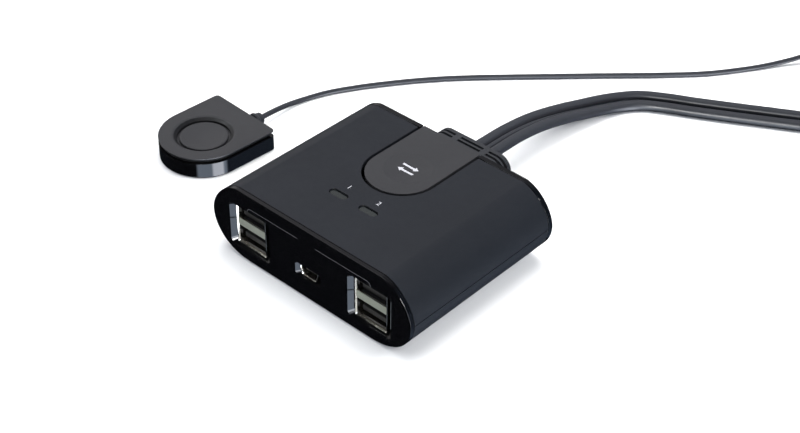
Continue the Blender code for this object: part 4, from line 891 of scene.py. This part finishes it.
def make_light_windows():
    for i in (1, 2):
        low, high = box(f"light_window_{i}")
        outline = pill((low.x + high.x) / 2, LIGHT_Y, LIGHT_LENGTH, LIGHT_WIDTH)
        window = flat(f"light_lens_{i}", [outline], low.z, high.z)
        soften(window, 0.7 * MM, 5, 50)
        smooth(window)
        finish_piece(window, LIGHT_PIPE, [f"light_window_{i}"])


# ------------------------------------------------------------------ ports


def make_stack(word):
    """Two ports in one folded shell: flared lips, two mouths and the strip between them."""
    low, high = box(f"usb_shell_{word}")
    front, rear = low.y, high.y
    sheet = 0.35 * MM
    x0, x1, z0, z1 = low.x, high.x, low.z, high.z
    shell = flat(f"port_shell_{word}", [rounded_box(x0, x1, z0, z1, 0.5 * MM)], front + 0.2 * MM, rear, "XZ")
    hollow = block(
        "hollow", (x0 + sheet, front + 0.75 * MM, z0 + sheet), (x1 - sheet, rear + MM, z1 - sheet)
    )
    cut(shell, hollow)
    # lower and upper edges of the two mouths above the shell's own lower edge
    mouths = (0.95 * MM, 7.05 * MM), (9.75 * MM, 14.95 * MM)
    for rise, fall in mouths:
        mouth = flat(
            "mouth", [rounded_box(x0 + sheet, x1 - sheet, z0 + rise, z0 + fall, 0.25 * MM, 4)],
            front - MM, front + 1.5 * MM, "XZ",
        )
        cut(shell, mouth)
    # the lips are folded outwards, with a slope on their inner side
    grow = 0.05 * MM
    lip = flat(
        f"lip_{word}", [rounded_box(x0 - grow, x1 + grow, z0 - grow, z1 + 0.1 * MM, 0.7 * MM)],
        front - 0.4 * MM, front + 0.35 * MM, "XZ",
    )
    wide, tall = x1 - x0 - 2 * sheet, z1 - z0 - 2 * sheet
    bore = flat(
        "bore", [rounded_box(x0 + sheet, x1 - sheet, z0 + sheet, z1 - sheet, 0.4 * MM)],
        front - 0.45 * MM, front + 0.4 * MM, "XZ",
    )
    centre = ((x0 + x1) / 2, front, z1 - sheet)
    scale_ends(bore, lambda co: co.y < front, (1 + 0.72 * MM / wide, 1.0, 1 + 0.3 * MM / tall), centre)
    cut(lip, bore)
    join(shell, lip)
    tidy_mesh(shell)
    soften(shell, 0.05 * MM, 2, 40)
    smooth(shell)
    finish_piece(shell, NICKEL, [f"usb_shell_{word}"])
    margin = sheet + 0.05 * MM
    outline = rounded_box(
        x0 + margin, x1 - margin, z0 + mouths[0][1], z0 + mouths[1][0], 0.25 * MM
    )
    strip = flat(f"port_strip_{word}", [outline], front - 0.02 * MM, front + 0.19 * MM, "XZ")
    soften(strip, 0.12 * MM, 3, 50)
    smooth(strip)
    finish_piece(strip, DULL_NICKEL)


def make_contacts():
    """Four sprung fingers in each port, with round tips that show at the mouth."""
    profile = [(0.08, 0.0), (0.2, 0.05), (0.3, 0.16), (0.34, 0.34), (0.34, 4.5), (0.1, 4.6)]
    finger = turned(
        "finger", [(radius * MM, along * MM) for radius, along in profile], (0.0, 0.0, 0.0), 24,
        (math.radians(-90), 0.0, 0.0),
    )
    smooth(finger, 50)
    # how far the sprung tips hang below the flat part of each comb
    drop = {"lower": 1.0 * MM, "upper": 0.1 * MM}
    for word in ("left", "right"):
        for level in ("lower", "upper"):
            node = f"usb_contacts_{word}_{level}"
            low, high = box(node)
            copies = []
            for i in range(4):
                share = (i + 0.5) / 4
                copy = bpy.data.objects.new("finger_copy", finger.data.copy())
                bpy.context.scene.collection.objects.link(copy)
                copy.location = (low.x + (high.x - low.x) * share, low.y - 0.7 * MM, low.z - drop[level])
                copies.append(settle(copy))
            pick(*copies)
            bpy.ops.object.join()
            comb = bpy.context.view_layer.objects.active
            comb.name = f"contact_fingers_{word}_{level}"
            finish_piece(comb, GOLD, [node])
    bpy.data.objects.remove(finger, do_unlink=True)


def make_mini_port():
    low, high = box("mini_usb_shell")
    middle, half, waist = (low.x + high.x) / 2, (high.x - low.x) / 2, 3.25 * MM

    def outline(grow):
        x_half, x_waist, z0, z1 = half + grow, waist + grow, low.z - grow, high.z + grow
        kink_low, kink_high = z0 + 0.38 * (z1 - z0), z0 + 0.6 * (z1 - z0)
        corner = 0.45 * MM
        right = [
            (x_waist - corner, z0), (x_waist - 0.13 * MM, z0 + 0.13 * MM), (x_waist, z0 + corner),
            (x_waist, kink_low), (x_half, kink_high), (x_half, z1 - corner),
            (x_half - 0.13 * MM, z1 - 0.13 * MM), (x_half - corner, z1),
        ]
        return [(middle + x, z) for x, z in right] + [(middle - x, z) for x, z in right[::-1]]

    shell = flat("mini_port_shell", [outline(0.1 * MM)], low.y - 0.1 * MM, high.y, "XZ")
    cut(shell, flat("inside", [outline(-0.38 * MM)], low.y - MM, high.y - 0.6 * MM, "XZ"))
    slope = flat("slope", [outline(-0.4 * MM)], low.y - 0.15 * MM, low.y + 0.45 * MM, "XZ")
    centre = (middle, low.y, (low.z + high.z) / 2)
    grown = 0.6 * MM
    scale_ends(
        slope, lambda co: co.y < low.y,
        (1 + grown / (2 * half - 0.8 * MM), 1.0, 1 + grown / (high.z - low.z - 0.8 * MM)), centre,
    )
    cut(shell, slope)
    tidy_mesh(shell)
    soften(shell, 0.04 * MM, 1, 50)
    smooth(shell)
    finish_piece(shell, NICKEL, ["mini_usb_shell"])


# ------------------------------------------------------------------ gland


def make_gland():
    wide, tall = (GLAND_HIGH.x - GLAND_LOW.x) / 2, (GLAND_HIGH.z - GLAND_LOW.z) / 2
    corner, slot_depth, slot_width, slot_pitch = 5.2 * MM, 1.25 * MM, 1.05 * MM, 1.9 * MM
    face = REAR + 0.3 * MM

    def outline(inset):
        return rounded_box(
            MIDDLE - wide + inset, MIDDLE + wide - inset, EXIT.z - tall + inset, EXIT.z + tall - inset,
            corner - inset, 14,
        )

    gland = flat("cable_gland_moulding", [outline(0.0)], face, EXIT.y, "XZ")
    soften(gland, 0.9 * MM, 4, 50)
    neck = flat("neck", [outline(3.2 * MM)], GLAND_LOW.y, REAR + MM, "XZ")
    join(gland, neck)
    big = [(MIDDLE - 20 * MM, EXIT.z - 10 * MM), (MIDDLE + 20 * MM, EXIT.z - 10 * MM),
           (MIDDLE + 20 * MM, EXIT.z + 10 * MM), (MIDDLE - 20 * MM, EXIT.z + 10 * MM)]
    for row in range(4):
        y = EXIT.y - 2.1 * MM - row * slot_pitch
        ring = flat("ring", [big, outline(slot_depth)], y - slot_width / 2, y + slot_width / 2, "XZ")
        for side in (-1, 1):
            x0, x1 = sorted((MIDDLE + side * 5.0 * MM, MIDDLE + side * 7.4 * MM))
            cut(ring, block("rib", (x0, y - 2 * MM, EXIT.z - 12 * MM), (x1, y + 2 * MM, EXIT.z + 12 * MM)))
        cut(gland, ring)
    tidy_mesh(gland)
    soften(gland, 0.12 * MM, 2, 55)
    smooth(gland, 30)
    finish_piece(gland, GLAND_PVC, ["cable_gland"])


# ------------------------------------------------------------------ remote

REMOTE_CENTRE = Vector((EXIT.x - 85.4 * MM, EXIT.y - 49.4 * MM, 0.0))
REMOTE_TURN = math.radians(-3.0)
REMOTE_RADIUS, REMOTE_BACK, REMOTE_CORNER = 16.3 * MM, 19.7 * MM, 1.5 * MM
REMOTE_CORD_X, REMOTE_CORD_Z = 1.3 * MM, 3.7 * MM
TOWARDS_BACK = (math.radians(-90), 0.0, 0.0)


def remote_outline(inset, corner):
    return dee(0, 0, REMOTE_RADIUS - inset, REMOTE_BACK - inset, corner)


def to_remote(piece):
    piece.location = REMOTE_CENTRE
    piece.rotation_euler = (0.0, 0.0, REMOTE_TURN)
    return settle(piece)


def make_remote():
    base_low, base_high = box("remote_base")
    _, top_high = box("remote_top")
    rim = base_high.z
    base = flat("remote_base_shell", [remote_outline(0.0, REMOTE_CORNER)], base_low.z, rim)
    soften(base, 0.45 * MM, 4, 50)
    inside = flat("inside", [remote_outline(1.6 * MM, 0.0)], base_low.z + MM, rim + MM)
    pad = flat("pad", [remote_outline(2.2 * MM, 0.8 * MM)], -MM, base_low.z + 0.3 * MM)
    at = (REMOTE_CORD_X, REMOTE_BACK - 3 * MM, REMOTE_CORD_Z)
    hole = turned("hole", [(2 * MM, 0.0), (2 * MM, 5 * MM)], at, 32, TOWARDS_BACK)
    cut(base, inside, pad, hole)
    tidy_mesh(base)
    smooth(base, 28)
    finish_piece(to_remote(base), BEZEL_ABS, ["remote_base"])

    skin = 0.4 * MM
    outline = remote_outline(0.0, REMOTE_CORNER)
    top = flat("remote_top_plate", [outline], top_high.z - skin, top_high.z)
    soften(top, 0.17 * MM, 3, 50)
    sunk, hole_radius = top_high.z - 1.15 * MM, 9.75 * MM
    slope = [(10.0, 0.16), (10.4, 0.52), (10.8, 0.82), (11.15, 1.02), (11.5, 1.13), (11.9, 1.17)]
    funnel = [(hole_radius, 0.0), (hole_radius, sunk)]
    funnel += [(radius * MM, sunk + rise * MM) for radius, rise in slope] + [(12.0 * MM, sunk + 3 * MM)]
    inset = 0.15 * MM
    outline = remote_outline(inset, REMOTE_CORNER - inset)
    # Below a thin satin skin, the rest of the plate's height is this waist, set in and undercut. It takes a
    # matte near-black instead of the plate's satin grey. That black is painted shade of the groove under the
    # plate, on top of the real shade that falls there.
    waist = flat(
        "remote_shadow_waist", [outline], rim + 0.1 * MM, top_high.z - skin + 0.05 * MM
    )
    undercut = 1 - MM / REMOTE_RADIUS
    scale_ends(waist, lambda co: co.z < rim + 0.5 * MM, (undercut, undercut, 1.0), (0.0, 0.0, rim))
    cut(waist, turned("funnel", funnel, (0.0, 0.0, 0.0), 128))
    tidy_mesh(waist)
    smooth(waist, 30)
    finish_piece(to_remote(waist), NYLON_BLACK_AND_PAINTED_SHADE)
    cut(top, turned("funnel", funnel, (0.0, 0.0, 0.0), 128))
    tidy_mesh(top)
    smooth(top, 30)
    finish_piece(to_remote(top), BUTTON_ABS, ["remote_top"])

    low, high = box("remote_button")
    profile = [
        (10.3 * MM, low.z), (10.3 * MM, low.z + 0.9 * MM),
        (8.8 * MM, low.z + 0.9 * MM), (8.8 * MM, high.z - 0.35 * MM),
        (8.7 * MM, high.z - 0.12 * MM), (8.45 * MM, high.z), (8.0 * MM, high.z - 0.02 * MM),
    ]
    curve = [
        (7.4, 0.17), (6.4, 0.36), (5.2, 0.55), (4.0, 0.7), (2.8, 0.81), (1.6, 0.87), (0.6, 0.9),
        (0.15, 0.9),
    ]
    profile += [(radius * MM, high.z - drop * MM) for radius, drop in curve]
    button = turned("remote_button_cap", profile, (0.0, 0.0, 0.0), 96)
    smooth(button, 40)
    finish_piece(to_remote(button), BUTTON_ABS, ["remote_button"], "remote_button_cap")

    profile = [
        (1.25, 5.8), (2.15, 5.7), (2.3, 5.5), (2.45, 3.9), (2.85, 3.6), (3.0, 3.35), (3.0, 2.75),
        (2.85, 2.5), (2.05, 2.3), (2.0, 2.1), (2.0, 1.75), (2.75, 1.6), (3.0, 1.4), (3.0, 0.3),
        (1.7, 0.3), (1.7, -1.9), (2.0, -1.9), (2.0, -2.8),
    ]
    relief = turned(
        "remote_cord_relief", [(radius * MM, height * MM) for radius, height in profile],
        (REMOTE_CORD_X, REMOTE_BACK, REMOTE_CORD_Z), 48, TOWARDS_BACK,
    )
    smooth(relief, 40)
    finish_piece(to_remote(relief), GLAND_PVC, ["remote_strain_relief"])


# ------------------------------------------------------------------ prints


def digit(name, text, x, y, height):
    """One printed numeral, raised by the thickness of the ink."""
    data = bpy.data.curves.new(name, "FONT")
    data.body = text
    data.size = height * 1.35
    data.align_x, data.align_y = "CENTER", "CENTER"
    data.extrude = 0.01 * MM
    piece = bpy.data.objects.new(name, data)
    bpy.context.scene.collection.objects.link(piece)
    pick(piece)
    bpy.ops.object.convert(target="MESH")
    piece = bpy.context.view_layer.objects.active
    piece.location = (x, y, TOP + 0.012 * MM)
    finish_piece(tidy_mesh(settle(piece)), PRINT_INK)


def make_symbol():
    """A plain pair of opposed arrows for switching over, printed in the button's dish."""
    x, y = MIDDLE, BUTTON_Y + DISH_BEHIND
    half_long, shaft, head, head_long = 3.3 * MM, 0.42 * MM, 1.15 * MM, 1.7 * MM
    arrow = [
        (-half_long, -shaft), (half_long - head_long, -shaft), (half_long - head_long, -head),
        (half_long, 0.0), (half_long - head_long, head), (half_long - head_long, shaft),
        (-half_long, shaft),
    ]
    for name, sign in (("upper", 1), ("lower", -1)):
        loop = [(x + sign * a, y + sign * (b + 1.35 * MM)) for a, b in arrow]
        ink = flat(f"print_arrow_{name}", [loop], TOP - 2 * MM, TOP + MM)
        rings = [0.12 * MM + (7 * MM) * i / 20 for i in range(21)]
        under = [(r, TOP + dish_height(r) + 0.004 * MM) for r in rings]
        layer = turned("layer", under + [(r, z + 0.02 * MM) for r, z in under[::-1]], (x, y, 0.0), 64)
        boolean(ink, layer, "INTERSECT")
        finish_piece(tidy_mesh(ink), PRINT_INK, (), "select_button_tilt")


def ribbon(name, path, width, depth_low, depth_high):
    """A thin printed line in XZ, as a strip of constant width along its path."""
    left, right = [], []
    for i, point in enumerate(path):
        a, b = Vector(path[max(i - 1, 0)]), Vector(path[min(i + 1, len(path) - 1)])
        ahead = (b - a).normalized()
        side = Vector((-ahead.y, ahead.x)) * width / 2
        left.append(tuple(Vector(point) + side))
        right.append(tuple(Vector(point) - side))
    return flat(name, [left + right[::-1]], depth_low, depth_high, "XZ")


def make_prints():
    for side, text in ((-1, "1"), (1, "2")):
        x = MIDDLE + side * LIGHT_SPACING
        digit(f"print_digit_{text}", text, x, FRONT + 25.75 * MM, 2.0 * MM)
    make_symbol()
    ink_low, ink_high = FRONT - 0.012 * MM, FRONT + 0.05 * MM
    height = BASE + 22.1 * MM
    for side, inner in ((-1, -4.2), (1, 3.6)):
        # a hook over the ports' inner end, then a straight line towards the middle
        path = []
        for i in range(9):
            turn = math.radians(180 - 90 * i / 8)
            path.append((side * (25.6 + 1.6 * -math.cos(turn)), 1.6 * (math.sin(turn) - 1)))
        path.append((inner, 0.0))
        points = [(MIDDLE + x * MM, height + z * MM) for x, z in path]
        word = "left" if side < 0 else "right"
        line = ribbon(f"print_line_{word}", points, 0.17 * MM, ink_low, ink_high)
        finish_piece(line, LINE_INK)


# ------------------------------------------------------------------ plugs


TOWARDS_FRONT = (math.radians(90), 0.0, 0.0)


def make_plugs():
    for number in (1, 2):
        low, high = box(f"usb_plug_shell_{number}")
        body_low, body_high = box(f"usb_plug_body_{number}")
        middle = (low.x + high.x) / 2
        face = body_low.y
        rear = face + 21 * MM
        half = (body_high.x - body_low.x) / 2
        body = flat(
            f"plug_overmould_{number}", [rounded_box(middle - half, middle + half, face, rear, 2.2 * MM)],
            body_low.z, body_high.z,
        )
        soften(body, 1.3 * MM, 5, 50)
        axis_z = (low.z + high.z) / 2
        relief = turned(
            "relief",
            [(2.75 * MM, 0.0), (3.0 * MM, 3 * MM), (3.3 * MM, 7 * MM), (3.6 * MM, 12 * MM)],
            (middle, body_high.y, axis_z), 40, TOWARDS_FRONT,
        )
        join(body, relief)
        for i in range(4):
            y = rear - 5 * MM - i * 2.2 * MM
            for side in (-1, 1):
                x = middle + side * half
                grip = block(
                    "grip", (x - 0.5 * MM, y, body_low.z + 1.6 * MM),
                    (x + 0.5 * MM, y + MM, body_high.z - 1.6 * MM),
                )
                cut(body, grip)
        for i in range(3):
            y = body_high.y - (2.6 + 2.4 * i) * MM
            at = (middle, y, axis_z)
            ring = turned("groove", [(5 * MM, 0.0), (5 * MM, 0.8 * MM)], at, 40, TOWARDS_FRONT)
            core = turned("core", [(2.4 * MM, -MM), (2.4 * MM, 2 * MM)], at, 40, TOWARDS_FRONT)
            cut(ring, core)
            cut(body, ring)
        socket = block(
            "socket", (low.x - 0.1 * MM, face - MM, low.z - 0.1 * MM),
            (high.x + 0.1 * MM, face + 3.2 * MM, high.z + 0.1 * MM),
        )
        cut(body, socket)
        tidy_mesh(body)
        soften(body, 0.15 * MM, 2, 50)
        smooth(body, 30)
        finish_piece(body, GLAND_PVC, [f"usb_plug_body_{number}"])

        sheet = 0.32 * MM
        shell = flat(
            f"plug_shell_{number}", [rounded_box(low.x, high.x, low.z, high.z, 0.5 * MM)], low.y, high.y, "XZ"
        )
        hollow = flat(
            "hollow", [rounded_box(low.x + sheet, high.x - sheet, low.z + sheet, high.z - sheet, 0.3 * MM)],
            low.y - MM, high.y - MM, "XZ",
        )
        cut(shell, hollow)
        for side in (-1, 1):
            x, y = middle + side * 2.65 * MM, low.y + 6.2 * MM
            window = block(
                "window", (x - 1.25 * MM, y - 1.1 * MM, low.z - MM),
                (x + 1.25 * MM, y + 1.1 * MM, high.z + MM),
            )
            cut(shell, window)
        tidy_mesh(shell)
        soften(shell, 0.1 * MM, 2, 40)
        smooth(shell)
        finish_piece(shell, NICKEL, [f"usb_plug_shell_{number}"])


make_top_cover()
make_bottom_cover()
make_front_bezel()
make_rear_bezel()
make_select_button()
make_light_windows()
for port_word in ("left", "right"):
    make_stack(port_word)
make_contacts()
make_mini_port()
make_gland()
make_remote()
make_prints()
make_plugs()
